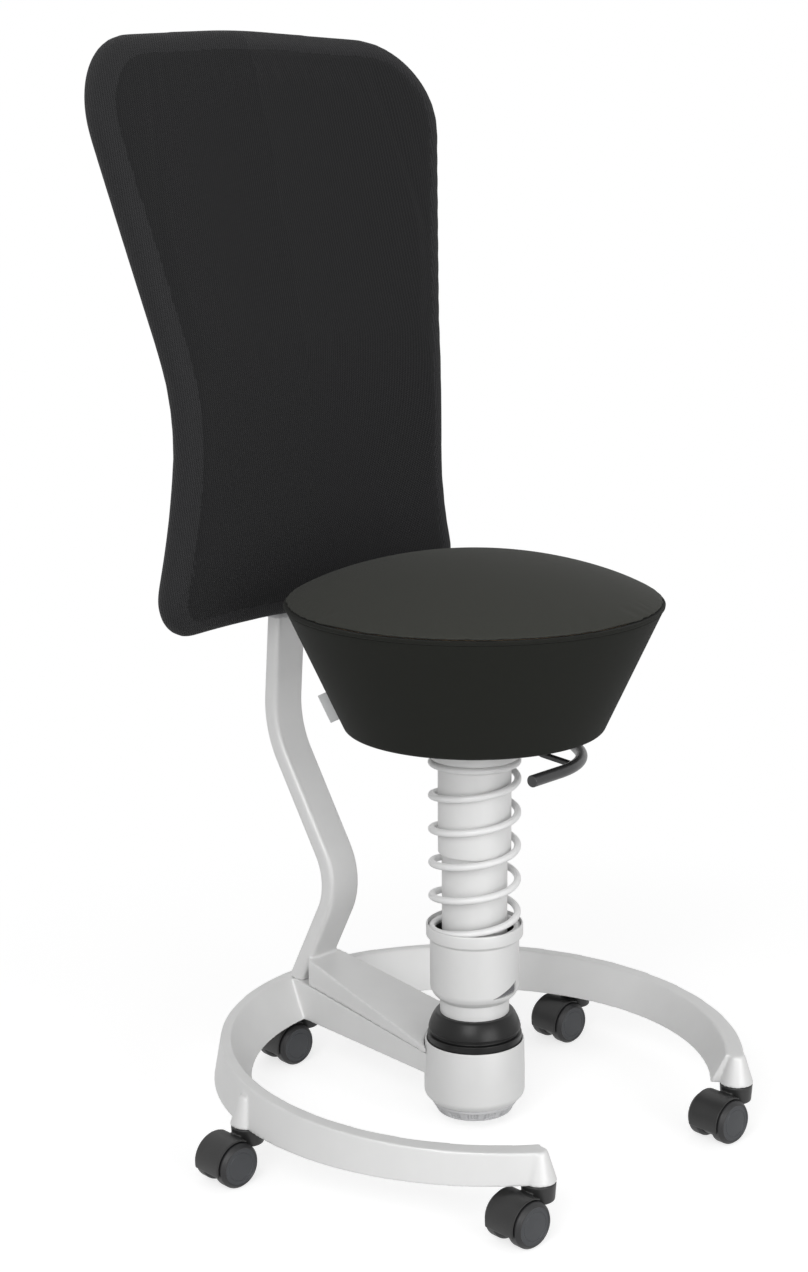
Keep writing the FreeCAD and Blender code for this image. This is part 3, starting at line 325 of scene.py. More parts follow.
def resampled(points, spacing, closed=True):
    """Line of points with long edges divided to the spacing."""
    dense = []
    for here, there in zip(points, points[1:] + points[:1] if closed else points[1:]):
        here = Vector(here)
        there = Vector(there)
        steps = max(1, round((there - here).length / spacing))
        dense += [here.lerp(there, step / steps) for step in range(steps)]
    return dense if closed else dense + [points[-1]]


def bent(points, radii, spacing=3.0):
    """Route through points with a tangent arc at each inner point."""
    corners = [(point.x, point.y, radius) for point, radius in zip(points, [0, *radii, 0])]
    return [Vector(point) for point in rounded(corners, closed=False, spacing=spacing)]


def headings(route):
    """Direction of travel at each point of a route."""
    last = len(route) - 1
    return [(route[min(place + 1, last)] - route[max(place - 1, 0)]).normalized()
            for place in range(last + 1)]


def lathe(profile, segments=96, closed=True):
    """Shape turned about the upright axis from (radius, z) points; a zero radius makes a pole."""
    points = []
    rows = []
    for radius, z in profile:
        pole = radius < 1e-6
        row = []
        for step in range(1 if pole else segments):
            row.append(len(points))
            points.append(polar(radius, 2 * math.pi * step / segments, z))
        rows.append(row * segments if pole else row)
    pairs = list(zip(rows, rows[1:]))
    if closed:
        pairs.append((rows[-1], rows[0]))
    faces = []
    for row, other in pairs:
        for step in range(segments):
            after = (step + 1) % segments
            face = [row[step], row[after], other[after], other[step]]
            face = [v for place, v in enumerate(face) if v not in face[:place]]
            if len(face) > 2:
                faces.append(face)
    return points, faces


def skin(sections, caps=True):
    """Shape through sections, each a closed loop of as many points."""
    count = len(sections[0])
    points = [point for section in sections for point in section]
    faces = []
    for row in range(len(sections) - 1):
        for place in range(count):
            after = (place + 1) % count
            low = row * count
            high = low + count
            faces.append([low + place, low + after, high + after, high + place])
    if caps:
        last = len(points) - count
        faces.append(list(range(count)))
        faces.append(list(range(last, last + count)))
    return points, faces


def rounded_rod(route, radius, edge, sides):
    """Round rod along a route, with rounded edges at its two ends."""
    steps = 4
    first = (route[1] - route[0]).normalized()
    last = (route[-1] - route[-2]).normalized()
    turns = [math.pi / 2 * step / steps for step in range(steps + 1)]
    insets = [edge - edge * math.cos(math.pi / 2 - turn) for turn in turns]
    ends = [radius - edge + edge * math.cos(turn) for turn in turns]
    radii = ends[::-1] + [radius] * (len(route) - 2) + ends
    head = [route[0] + first * inset for inset in insets[::-1]]
    tail = [route[-1] - last * inset for inset in insets]
    route = head + route[1:-1] + tail
    across = first.orthogonal()
    sections = []
    for point, ahead, reach in zip(route, headings(route), radii):
        across = (across - ahead * across.dot(ahead)).normalized()
        other = ahead.cross(across)
        circle = [polar(reach, 2 * math.pi * side / sides) for side in range(sides)]
        sections.append([point + across * place.x + other * place.y for place in circle])
    return skin(sections)


def flat_bar(route, half_width, half_thick, edge, out, side, spacing=1.5):
    """Bar of a rounded rectangle along an (outwards, up) route, with its width along the side."""
    outline = rounded([(-half_width, -half_thick, edge), (half_width, -half_thick, edge),
                       (half_width, half_thick, edge), (-half_width, half_thick, edge)], spacing=spacing)
    sections = []
    for point, ahead in zip(route, headings(route)):
        across = Vector((-ahead.y, ahead.x))
        places = [(point + across * w, u) for u, w in outline]
        sections.append([out * place.x + side * u + Vector((0, 0, place.y)) for place, u in places])
    return skin(sections)


def joined(*shapes):
    """Several shapes as one list of points and faces."""
    points = []
    faces = []
    for shape_points, shape_faces in shapes:
        start = len(points)
        points += shape_points
        faces += [[start + place for place in face] for face in shape_faces]
    return points, faces


def moved(shape, place):
    points, faces = shape
    return [Vector(point) + place for point in points], faces


# Pieces: mesh objects in metres


def sizes(box):
    """Bottom, top and half width of a CAD box, in millimetres."""
    low, high = box
    return low.z / MM, high.z / MM, high.x / MM


def add_object(name, data):
    thing = bpy.data.objects.new(name, data)
    bpy.context.scene.collection.objects.link(thing)
    return thing


def make_piece(name, shape):
    """Mesh object from a shape in millimetres, with its faces turned outwards."""
    points, faces = shape
    mesh = bpy.data.meshes.new(name)
    mesh.from_pydata([Vector(point) * MM for point in points], [], faces)
    form = bmesh.new()
    form.from_mesh(mesh)
    bmesh.ops.recalc_face_normals(form, faces=form.faces)
    form.to_mesh(mesh)
    form.free()
    return add_object(name, mesh)


def mesh_of(piece):
    """Mesh of a helper piece, which is then removed."""
    mesh = piece.data
    bpy.data.objects.remove(piece)
    return mesh


def shape_of(piece):
    """Shape of a helper piece, which is then removed."""
    mesh = mesh_of(piece)
    return [vertex.co / MM for vertex in mesh.vertices], [list(face.vertices) for face in mesh.polygons]


def modify(piece, kind, **settings):
    modifier = piece.modifiers.new(kind.lower(), kind)
    for key, value in settings.items():
        setattr(modifier, key, value)
    return modifier


def apply_modifiers(piece):
    """Replace a piece's mesh by what its modifiers make of it."""
    bpy.context.view_layer.update()
    graph = bpy.context.evaluated_depsgraph_get()
    mesh = bpy.data.meshes.new_from_object(piece.evaluated_get(graph))
    piece.modifiers.clear()
    piece.data = mesh


def cast_together(piece, voxel, smoothing):
    """Merge overlapping shapes of one piece into a single even skin with rounded edges and fillets."""
    modify(piece, "REMESH", mode="VOXEL", voxel_size=voxel * MM)
    modify(piece, "SMOOTH", factor=0.5, iterations=smoothing)
    apply_modifiers(piece)


def combine(piece, operation, shape):
    """Unite a piece with a shape, take the shape away, or keep what both share."""
    tool = make_piece("tool", shape)
    modify(piece, "BOOLEAN", operation=operation, solver="EXACT", object=tool)
    apply_modifiers(piece)
    bpy.data.objects.remove(tool)


def finish_piece(piece, body, slot, nodes=(), sharp=40.0, material=None):
    """Shade, dress and hang a piece on its body, in place of the CAD nodes that it stands for."""
    mesh = piece.data
    mesh.shade_smooth()
    mesh.set_sharp_from_angle(angle=math.radians(sharp))
    if not mesh.materials:
        mesh.materials.append(material or slot_materials[slot])
    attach(piece, body)
    if nodes:
        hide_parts(*nodes)


# Materials


def grey(tone):
    return tone, tone, tone, 1.0


class Nodes:
    """A node tree under construction, with short ways to add to it."""

    def __init__(self, tree):
        self.tree = tree
        self.places = self.add("ShaderNodeTexCoord").outputs

    def add(self, kind, settings=None, **links):
        """New node whose inputs, by name or _number, are set to values or joined to other outputs."""
        node = self.tree.nodes.new(kind)
        for key, value in (settings or {}).items():
            setattr(node, key, value)
        for socket, value in links.items():
            number = socket[1:]
            target = node.inputs[int(number) if number.isdigit() else socket.replace("_", " ")]
            if isinstance(value, bpy.types.NodeSocket):
                self.tree.links.new(value, target)
            else:
                target.default_value = value
        return node

    def math(self, operation, *values):
        links = {"_%d" % place: value for place, value in enumerate(values)}
        return self.add("ShaderNodeMath", {"operation": operation}, **links).outputs[0]

    def axes(self, kind="Object"):
        return self.add("ShaderNodeSeparateXYZ", Vector=self.places[kind]).outputs

    def seen_rays(self):
        """1 for rays from the camera, off shiny things and through clear ones, 0 for light on things."""
        path = self.add("ShaderNodeLightPath").outputs
        shown = self.math("MAXIMUM", path["Is Camera Ray"], path["Is Glossy Ray"])
        return self.math("MAXIMUM", shown, path["Is Transmission Ray"])


class Finish(Nodes):
    """A material under construction, with patterns for its shader."""

    def __init__(self, name, **sockets):
        self.material = bpy.data.materials.new(name)
        self.material.use_nodes = True
        super().__init__(self.material.node_tree)
        self.shader = self.tree.nodes["Principled BSDF"]
        for socket, value in sockets.items():
            self.shader.inputs[socket.replace("_", " ")].default_value = value

    def noise(self, size, detail=2.0, roughness=0.5):
        """Cloudy pattern with features of the given size in millimetres."""
        node = self.add("ShaderNodeTexNoise", Vector=self.places["Object"], Scale=1 / (size * MM),
                        Detail=detail, Roughness=roughness)
        return node.outputs["Fac"]

    def wave(self, place, period):
        """Sine of a place along an axis, in metres, with the period in millimetres."""
        return self.math("SINE", self.math("MULTIPLY", place, 2 * math.pi / (period * MM)))

    def weave(self, across, along, across_period, along_period):
        """Product of two waves, from 0 to 1."""
        product = self.math("MULTIPLY", self.wave(across, across_period), self.wave(along, along_period))
        return self.spread(product, 0.0, 1.0, -1.0)

    def spread(self, value, low, high, source_low=0.0):
        node = self.add("ShaderNodeMapRange", Value=value, From_Min=source_low, From_Max=1.0, To_Min=low,
                        To_Max=high)
        return node.outputs["Result"]

    def sum(self, first, share, second):
        """Two patterns together, the first with the given share."""
        other = self.math("MULTIPLY", second, 1 - share)
        return self.math("ADD", self.math("MULTIPLY", first, share), other)

    def colour(self, value, dark, light):
        node = self.add("ShaderNodeMix", {"data_type": "RGBA"}, _0=value, _6=(*dark, 1.0), _7=(*light, 1.0))
        self.tree.links.new(node.outputs[2], self.shader.inputs["Base Color"])

    def roughness(self, value, low, high, source_low=0.0):
        self.tree.links.new(self.spread(value, low, high, source_low), self.shader.inputs["Roughness"])

    def relief(self, height, depth, strength):
        """Bump from a height pattern, with its depth in millimetres."""
        node = self.add("ShaderNodeBump", Strength=strength, Distance=depth * MM, Height=height)
        self.tree.links.new(node.outputs["Normal"], self.shader.inputs["Normal"])


def painted(name, dark, light, metallic, rough, grain):
    """Satin paint with a fine orange-peel grain and faint clouding."""
    finish = Finish(name, Metallic=metallic)
    finish.colour(finish.noise(30.0, 4.0), dark, light)
    finish.roughness(finish.noise(6.0, 3.0), rough - 0.04, rough + 0.05)
    finish.relief(finish.noise(grain, 2.0), 0.03, 0.35)
    return finish.material


def moulded(name, dark, light, rough, grain, depth=0.04, specular=0.5):
    """Moulded plastic or rubber with a fine spark-eroded grain."""
    finish = Finish(name, Specular_IOR_Level=specular)
    finish.colour(finish.noise(14.0, 4.0), dark, light)
    finish.roughness(finish.noise(3.0, 3.0), rough - 0.06, rough + 0.06)
    finish.relief(finish.noise(grain, 3.0), depth, 0.5)
    return finish.material


def bare_metal(name, tone, rough):
    """Turned steel with fine rings round the upright axis."""
    finish = Finish(name, Metallic=1.0)
    finish.colour(finish.noise(9.0, 3.0), [tone * 0.9] * 3, [tone * 1.08] * 3)
    rings = finish.wave(finish.axes()["Z"], 0.5)
    finish.roughness(rings, rough - 0.04, rough + 0.06, -1.0)
    finish.relief(rings, 0.01, 0.3)
    return finish.material


def woven(name, around, dark, light):
    """Fine plain weave of the seat, with threads along X and Y or round the axis and up."""
    finish = Finish(name, Sheen_Weight=0.04, Sheen_Roughness=0.5, Specular_IOR_Level=0.1)
    axes = finish.axes()
    thread = 1.1
    middle_radius = 0.18
    across = axes["X"]
    along = axes["Y"]
    if around:
        across = finish.math("MULTIPLY", finish.math("ARCTAN2", along, across), middle_radius)
        along = axes["Z"]
    clouds = finish.noise(2.4, 4.0, 0.7)
    tone = finish.sum(finish.weave(across, along, thread, thread), 0.5, clouds)
    finish.colour(tone, dark, light)
    finish.roughness(clouds, 0.78, 0.95)
    finish.relief(tone, 0.25, 0.6)
    return finish.material


def knitted(name, dark, light, depth):
    """Spacer knit of the backrest: slanted loops in rows, with small dark holes between them."""
    finish = Finish(name, Sheen_Weight=0.05, Sheen_Roughness=0.45, Specular_IOR_Level=0.1)
    axes = finish.axes()
    across = finish.math("MULTIPLY_ADD", axes["Y"], 0.9, finish.math("ABSOLUTE", axes["X"]))
    along = finish.math("MULTIPLY_ADD", axes["Y"], 0.45, axes["Z"])
    slanted = finish.math("MULTIPLY_ADD", along, 0.55, across)
    height = finish.weave(slanted, along, 3.2, 4.4)
    yarn = finish.noise(0.8, 3.0)
    finish.colour(finish.sum(height, 0.7, yarn), dark, light)
    finish.roughness(yarn, 0.72, 0.9)
    finish.relief(height, depth, 0.8)
    return finish.material


def label_cloth():
    """Light grey woven ribbon of the bare tag."""
    finish = Finish("tag_ribbon", Specular_IOR_Level=0.2)
    axes = finish.axes()
    thread = 0.7
    tone = finish.weave(finish.math("ADD", axes["X"], axes["Y"]), axes["Z"], thread, thread)
    finish.colour(tone, (0.56, 0.57, 0.57), (0.68, 0.69, 0.69))
    finish.roughness(tone, 0.65, 0.8)
    finish.relief(tone, 0.1, 0.5)
    return finish.material


slot_materials = {
    "silver_paint": painted("silver_satin", (0.70, 0.70, 0.697), (0.745, 0.745, 0.742), 0.15, 0.44, 0.7),
    "spring_paint": painted("spring_coat", (0.80, 0.80, 0.80), (0.85, 0.85, 0.85), 0.0, 0.32, 0.8),
    "knob_plastic": moulded("knob_grey", (0.56, 0.56, 0.57), (0.62, 0.62, 0.63), 0.45, 0.5),
    "black_rubber": moulded("boot_rubber", (0.006, 0.006, 0.006), (0.010, 0.010, 0.010), 0.34, 0.5,
                            specular=0.28),
    "black_plastic": moulded("black_moulded", (0.010, 0.010, 0.010), (0.016, 0.016, 0.016), 0.45, 0.6),
    "wheel_plastic": moulded("wheel_tread", (0.009, 0.009, 0.010), (0.015, 0.015, 0.016), 0.5, 0.7),
    "lever_black": moulded("lever_coat", (0.022, 0.022, 0.023), (0.034, 0.034, 0.035), 0.34, 0.8),
    "gas_black": moulded("gas_coat", (0.012, 0.012, 0.013), (0.018, 0.018, 0.019), 0.35, 0.8),
    "bush_plastic": moulded("bush_white", (0.62, 0.61, 0.58), (0.68, 0.67, 0.64), 0.45, 0.7),
    "board": moulded("board_ply", (0.30, 0.21, 0.13), (0.42, 0.30, 0.19), 0.6, 0.9, 0.1),
    "bare_steel": bare_metal("bare_steel_turned", 0.55, 0.3),
    "seat_cloth": woven("seat_cloth_side", True, (0.008, 0.0085, 0.007), (0.021, 0.022, 0.019)),
    "back_knit": knitted("back_knit_fabric", (0.004, 0.004, 0.0045), (0.030, 0.030, 0.031), 0.7),
    "tag_cloth": label_cloth()}

# Second materials of some pieces
# Darker grey for the recessed pointer of the spring cup: painted shade
pointer_painted_shade = moulded("pointer_painted_shade", (0.16, 0.16, 0.17), (0.22, 0.22, 0.23), 0.5, 0.5)
wheel_face = moulded("wheel_face", (0.026, 0.028, 0.032), (0.036, 0.039, 0.044), 0.4, 0.6)
# Lighter copy of the seat cloth for the top: painted light from above
seat_top_cloth_painted_light = woven("seat_cloth_top_painted_light", False, (0.030, 0.031, 0.027), (0.056, 0.057, 0.050))
# Lighter knit for the bolster round the backrest: partly the stretched knit, partly painted light where the
# bolster faces the lamps
border_knit_painted_light = knitted("back_border_knit", (0.006, 0.006, 0.0065), (0.050, 0.050, 0.052), 1.0)


def dress_frame():
    """Give every CAD node that stays the finish of its slot."""
    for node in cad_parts.values():
        for place, old in enumerate(node.data.materials):
            node.data.materials[place] = slot_materials[old.name.split(".")[0]]


# Base


def castor_place(angle):
    turn = math.radians(angle)
    return Vector((castor_circle * math.sin(turn), ring_centre_y - castor_circle * math.cos(turn), 0))


def ring_wall_point(turn, inset, lean, height):
    shift = height * math.tan(lean) - inset
    x = (ring_half_width + shift) * math.sin(turn)
    y = ring_centre_y - (ring_half_depth + shift) * math.cos(turn)
    return Vector((x, y, ring_bottom_z + height))


def ring_wall_top(turn, inset, lean):
    """Point where one of the ring's leaning walls meets its sloping top."""
    front_y = ring_centre_y - ring_half_depth
    slope = (ring_rear_z - ring_front_z) / (2 * ring_half_depth)
    height = ring_front_z - ring_bottom_z
    for _ in range(6):
        point = ring_wall_point(turn, inset, lean, height)
        height = ring_front_z + slope * (point.y - front_y) - ring_bottom_z
    return point


def foot_ring():
    steps = 200
    sections = []
    for step in range(steps + 1):
        turn = math.radians(ring_opening + (360 - 2 * ring_opening) * step / steps)
        outer = (turn, 0, ring_outer_lean)
        inner = (turn, ring_foot, ring_inner_lean)
        sections.append([ring_wall_point(*outer, 0), ring_wall_top(*outer), ring_wall_top(*inner),
                         ring_wall_point(*inner, 0)])
    return skin(sections)


def castor_boss(angle):
    top = ring_bottom_z + boss_height
    profile = rounded([(0, ring_bottom_z, 0), (boss_foot_radius, ring_bottom_z, 0.5),
                       (boss_top_radius, top, boss_edge), (0, top, 0)], closed=False)
    return moved(lathe(profile, 64, closed=False), castor_place(angle))


def spoke_plan(radius, rear_y):
    """Plan of the spoke: tapered sides, and a front end that follows a circle about the axis."""
    taper = (spoke_front_half - spoke_rear_half) / (spoke_rear_y - spoke_front_y)
    end_half = math.sqrt(radius ** 2 - spoke_end_y ** 2)
    rear_half = spoke_rear_half + taper * (spoke_rear_y - rear_y)
    first = math.atan2(spoke_end_y, end_half)
    steps = 24
    plan = [(-rear_half, rear_y), (rear_half, rear_y)]
    for step in range(steps + 1):
        turn = first + (math.pi - 2 * first) * step / steps
        plan.append((radius * math.cos(turn), radius * math.sin(turn)))
    return plan


def plan_block(plan, low, high):
    """Block on a plan between two heights, each a function of y."""
    return skin([[Vector((x, y, height(y))) for x, y in plan] for height in (low, high)])


def between(first_y, first_z, last_y, last_z):
    """Height of the plane through two (y, z) points, as a function of y."""
    slope = (last_z - first_z) / (last_y - first_y)
    return lambda y: first_z + slope * (y - first_y)


seam_height = between(spoke_front_y, seam_front_z, spoke_rear_y, seam_rear_z)
wedge_height = between(spoke_front_y, wedge_front_z, wedge_rear_y, wedge_rear_z)


def socket():
    """Barrel socket with its bore, and the collar under it that carries the knob."""
    bore = socket_radius - socket_wall
    profile = rounded([(stud_radius, nut_pocket_top_z, 0), (nut_pocket_radius, nut_pocket_top_z, 0),
                       (nut_pocket_radius, collar_bottom_z, 0.6), (collar_radius, collar_bottom_z, 1.0),
                       (collar_radius, socket_bottom_z, 0), (socket_foot_radius, socket_bottom_z, 2.0),
                       (socket_radius, socket_shoulder_z, 9.0), (socket_radius, ring_bottom_z, 0),
                       (socket_radius - 1.0, socket_rim_z, 1.2), (bore, socket_rim_z, 0.8),
                       (bore, socket_floor_z, 1.0), (stud_radius, socket_floor_z, 0)])
    return lathe(profile, 128)


def make_base():
    """Foot ring, castor bosses, spoke and socket: one painted casting."""
    middle_wall = socket_radius - socket_wall / 2
    spoke = plan_block(spoke_plan(middle_wall, spoke_rear_y), lambda y: ring_bottom_z, seam_height)
    bosses = [castor_boss(angle) for angle in castor_angles]
    piece = make_piece("foot_base", joined(foot_ring(), spoke, *bosses))
    cast_together(piece, base_voxel, cast_smoothing)
    combine(piece, "UNION", socket())
    low = ring_bottom_z - cut_margin
    high = ring_bottom_z + bar_screw_head_height
    hole = lathe([(0, low), (bar_screw_head, low), (bar_screw_head, high), (0, high)], 48, closed=False)
    for place in bar_screw_places:
        combine(piece, "DIFFERENCE", moved(hole, Vector((0, place, 0))))
    finish_piece(piece, "base", "silver_paint", ["base_casting"])


def make_bar():
    """Bent bar and its wedge foot, one painted casting on the spoke."""
    tail = bar_foot + (bar_foot - bar_knee).normalized() * bar_tail
    route = bent([tail, bar_knee, bar_shoulder, bar_top], [bar_knee_radius, bar_shoulder_radius])
    bar = make_piece("bar_sweep", flat_bar(route, bar_width / 2, bar_thickness / 2, bar_edge,
                                           Vector((0, 1, 0)), Vector((1, 0, 0))))
    form = bmesh.new()
    form.from_mesh(bar.data)
    normal = Vector((0, seam_height(0) - seam_height(1), 1)).normalized()
    cut = bmesh.ops.bisect_plane(form, geom=form.verts[:] + form.edges[:] + form.faces[:],
                                 plane_co=Vector((0, 0, seam_height(0))) * MM, plane_no=normal,
                                 clear_inner=True)["geom_cut"]
    bmesh.ops.holes_fill(form, edges=[item for item in cut if isinstance(item, bmesh.types.BMEdge)])
    form.to_mesh(bar.data)
    form.free()
    plan = spoke_plan(socket_radius + wedge_gap, wedge_rear_y)
    wedge = plan_block(plan, lambda y: seam_height(y) + seam_gap, wedge_height)
    piece = make_piece("back_support", joined(shape_of(bar), wedge))
    cast_together(piece, bar_voxel, cast_smoothing)
    finish_piece(piece, "base", "silver_paint", ["backrest_bar"])


def make_sleeve():
    """Light plastic collar round the bar, just under the padding."""
    low_z, high_z, _ = sizes(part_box("backrest_sleeve"))
    lean = (bar_top - bar_shoulder).normalized()
    corner_steps = 6
    profile = ((sleeve_gap, low_z), (sleeve_wall - 0.9, low_z), (sleeve_wall, low_z + 0.9),
               (sleeve_wall, high_z - 0.6), (sleeve_wall - 0.5, high_z), (sleeve_gap, high_z),
               (sleeve_gap, low_z))
    flat_u = bar_width / 2 - bar_edge
    flat_w = bar_thickness / 2 - bar_edge
    sections = []
    for outset, z in profile:
        share = (z - bar_shoulder.y) / (bar_top.y - bar_shoulder.y)
        centre_y = bar_shoulder.x + (bar_top.x - bar_shoulder.x) * share
        section = []
        for corner, (side_u, side_w) in enumerate(((1, 1), (-1, 1), (-1, -1), (1, -1))):
            for step in range(corner_steps + 1):
                turn = math.pi / 2 * (corner + step / corner_steps)
                u = side_u * flat_u + (bar_edge + outset) * math.cos(turn)
                w = side_w * flat_w + (bar_edge + outset) * math.sin(turn)
                section.append(Vector((u, centre_y + w / lean.y, z)))
        sections.append(section)
    piece = make_piece("bar_collar", skin(sections, caps=False))
    finish_piece(piece, "base", "knob_plastic", ["backrest_sleeve"])


# Column


def make_rubber():
    """Rubber ball with its groove and lip."""

    def on_ball(z, radius=0):
        return math.sqrt(rubber_radius ** 2 - (z - ball_centre_z) ** 2), z, radius

    def arc(first, last):
        steps = 16
        return [on_ball(first + (last - first) * step / steps)[:2] for step in range(steps + 1)]

    margin = 1.0
    low = rubber_groove_z - rubber_groove_width / 2
    high = rubber_groove_z + rubber_groove_width / 2
    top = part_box("rubber_ball")[1].z / MM
    floor = on_ball(rubber_groove_z)[0] - rubber_groove_depth
    groove = rounded([on_ball(low - margin), on_ball(low, 0.8), (floor, low + 0.4, 1.2),
                      (floor, high - 0.4, 1.2), on_ball(high, 0.8), on_ball(high + margin)],
                     closed=False, spacing=0.3)
    neck = neck_radius + 0.1
    core = hub_core_radius + 0.2
    lip = rounded([on_ball(top - rubber_lip), (on_ball(top)[0] - 0.4, top - 0.2, 1.4), (neck, top, 0)],
                  closed=False, spacing=0.4)
    profile = arc(rubber_bottom_z, low - margin) + groove[1:-1]
    profile += arc(high + margin, top - rubber_lip) + lip[1:]
    profile += [(neck, top - rubber_cap), (core, top - rubber_cap), (core, rubber_bottom_z + rubber_foot)]
    piece = make_piece("ball_boot", lathe(profile, 128))
    finish_piece(piece, "column", "black_rubber", ["rubber_ball"])


def make_knob():
    """Ribbed tension knob: a ring of recessed grip cells with fine ribs in each."""
    bottom, top, half_width = sizes(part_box("tension_knob"))
    wide = half_width + knob_overhang
    narrow = wide - knob_taper
    rows = 40
    per_grip = 28
    segments = knob_grips * per_grip
    turns = [2 * math.pi * step / segments for step in range(segments)]
    sections = []
    for row in range(rows + 1):
        share = row / rows
        z = bottom + (top - knob_rim - bottom) * share
        base = narrow + (wide - narrow) * share
        section = []
        for step, turn in enumerate(turns):
            across = (step % per_grip) / per_grip
            inside = abs(across - 0.5) * 2 < cell_share and cell_low < share < cell_high
            rib = 0.5 + 0.5 * math.cos(2 * math.pi * cell_ribs * (across - 0.5) / cell_share)
            section.append(polar(base - (cell_depth - cell_rib_height * rib) * inside, turn, z))
        sections.append(section)
    for radius, z in ((wide, top - 1.0), (wide - 0.3, top - 0.3), (wide - 1.0, top), (knob_bore, top),
                      (knob_bore, bottom), (narrow - 1.0, bottom)):
        sections.append([polar(radius, turn, z) for turn in turns])
    points, faces = skin(sections, caps=False)
    last = len(points) - segments
    for step in range(segments):
        after = (step + 1) % segments
        faces.append([step, after, last + after, last + step])
    piece = make_piece("tension_grip", (points, faces))
    finish_piece(piece, "knob", "knob_plastic", ["tension_knob"])


def cup_profile():
    bottom, rim, collar = sizes(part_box("spring_cup"))
    bore = lower_tube_radius + 0.06
    nest = collar - cup_collar_wall
    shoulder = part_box("main_spring")[0].z / MM - 0.15
    cavity = cup_radius - cup_wall
    floor = bottom + cup_floor
    return rounded([(bore, bottom, 0.4), (lower_tube_radius + 4.4, bottom, 1.5),
                    (cup_radius - 3.4, bottom + 6.0, 9.0), (cup_radius, bottom + 12.2, 12.0),
                    (cup_radius, rim - 18.0, 1.0), (cup_radius + 1.2, rim - 16.6, 0.6),
                    (collar, rim - 14.0, 1.6), (collar, rim, 1.8), (nest, rim, 0.5), (nest, shoulder, 1.0),
                    (cavity, shoulder, 0.6), (cavity, floor, 1.5), (bore, floor, 0.4)], spacing=0.8)


def pointer_block(foot_z, lower, upper, first_rise, last_rise):
    """Curved block round the cup's front between two depths, whose height grows along the arc."""
    steps = 24
    sections = []
    for step in range(steps + 1):
        share = step / steps
        out = polar(1.0, math.radians(pointer_start + (pointer_end - pointer_start) * share))
        top_z = foot_z + first_rise + (last_rise - first_rise) * share
        sections.append([out * (cup_radius + depth) + Vector((0, 0, z)) for depth, z in
                         ((lower, foot_z), (upper, foot_z), (upper, top_z), (lower, top_z))])
    return skin(sections)


def make_cup():
    """Spring cup with its collar, a hollow painted black as shade below its rim, and a hatched wedge-shaped
    pointer sunk in its front and painted darker grey as shade.
    """
    bottom, rim, _ = sizes(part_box("spring_cup"))
    foot_z = bottom + pointer_foot
    painted_shade_z = rim - cup_rim_above_painted_shade
    piece = make_piece("coil_cup", lathe(cup_profile(), 128))
    combine(piece, "DIFFERENCE", pointer_block(foot_z, -pointer_depth, 2.0, 0.3, pointer_height))
    rib = pointer_block(foot_z, -pointer_depth - 0.6, -pointer_depth + 1.0, 0.1, 0.9)
    rises = [pointer_height * (place / pointer_ribs) for place in range(1, pointer_ribs)]
    hatch = make_piece("hatch", joined(*[moved(rib, Vector((0, 0, rise))) for rise in rises]))
    combine(hatch, "INTERSECT", pointer_block(foot_z, -pointer_depth - 0.5, 0.0, 0.2, pointer_height - 0.1))
    combine(piece, "UNION", shape_of(hatch))
    finish_piece(piece, "cup", "silver_paint", ["spring_cup"], sharp=32.0)
    # The pointer's recess and hatch take the darker grey: painted shade
    piece.data.materials.append(pointer_painted_shade)
    # Black plastic on the hollow's inward and upward faces below the rim: painted shade of the recess
    piece.data.materials.append(slot_materials["black_plastic"])
    for face in piece.data.polygons:
        place = face.center / MM
        radius = math.hypot(place.x, place.y)
        turn = math.degrees(math.atan2(place.y, place.x))
        within = pointer_start < turn < pointer_end and 0 < place.z - foot_z < pointer_height
        inward = face.normal.x * place.x + face.normal.y * place.y < -0.5 * radius
        upward = face.normal.z > 0.5 and radius < cup_radius - 3.0
        if within and cup_radius - pointer_depth - 0.1 < radius < cup_radius - 0.4:
            face.material_index = 1
        elif place.z < painted_shade_z and (inward or upward):
            face.material_index = 2


def coil_route():
    """Centre line of the spring: flat ends with straight stubs, steady pitch between."""
    bottom, top, _ = sizes(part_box("main_spring"))
    low_z = bottom + wire_radius
    high_z = top - wire_radius
    rise_quarters = coil_quarters - 2 * coil_flat_quarters
    per_quarter = 24
    route = []
    for step in range(coil_quarters * per_quarter + 1):
        quarter = step / per_quarter
        ease = min(max(quarter - coil_flat_quarters, 0), rise_quarters)
        if ease < coil_blend:
            ease = ease * ease / (2 * coil_blend)
        elif ease > rise_quarters - coil_blend:
            left = rise_quarters - ease
            ease = rise_quarters - coil_blend - left * left / (2 * coil_blend)
        else:
            ease = ease - coil_blend / 2
        z = low_z + (high_z - low_z) * ease / (rise_quarters - coil_blend)
        route.append(polar(coil_radius, math.radians(coil_start + 90 * quarter), z))
    first = out_and_side(math.radians(coil_start))[1]
    last = out_and_side(math.radians(coil_start + 90 * coil_quarters))[1]
    return [route[0] - first * coil_stub] + route + [route[-1] + last * coil_stub]


def make_spring():
    piece = make_piece("coil_spring", rounded_rod(coil_route(), wire_radius, wire_edge, 24))
    finish_piece(piece, "column", "spring_paint", ["main_spring"])
    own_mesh(piece)


def make_top_ring():
    """Ring on the upper tube that the spring pushes up."""
    bottom, top, outer = sizes(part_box("spring_top_seat"))
    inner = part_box("upper_tube")[1].x / MM
    profile = rounded([(inner, bottom, 0), (outer, bottom, 1.6), (outer, top, 2.2), (inner + 2.0, top, 0),
                       (inner, top + 1.0, 0)], spacing=0.5)
    piece = make_piece("coil_top_ring", lathe(profile, 128))
    finish_piece(piece, "carriage", "silver_paint", ["spring_top_seat"])


# Seat


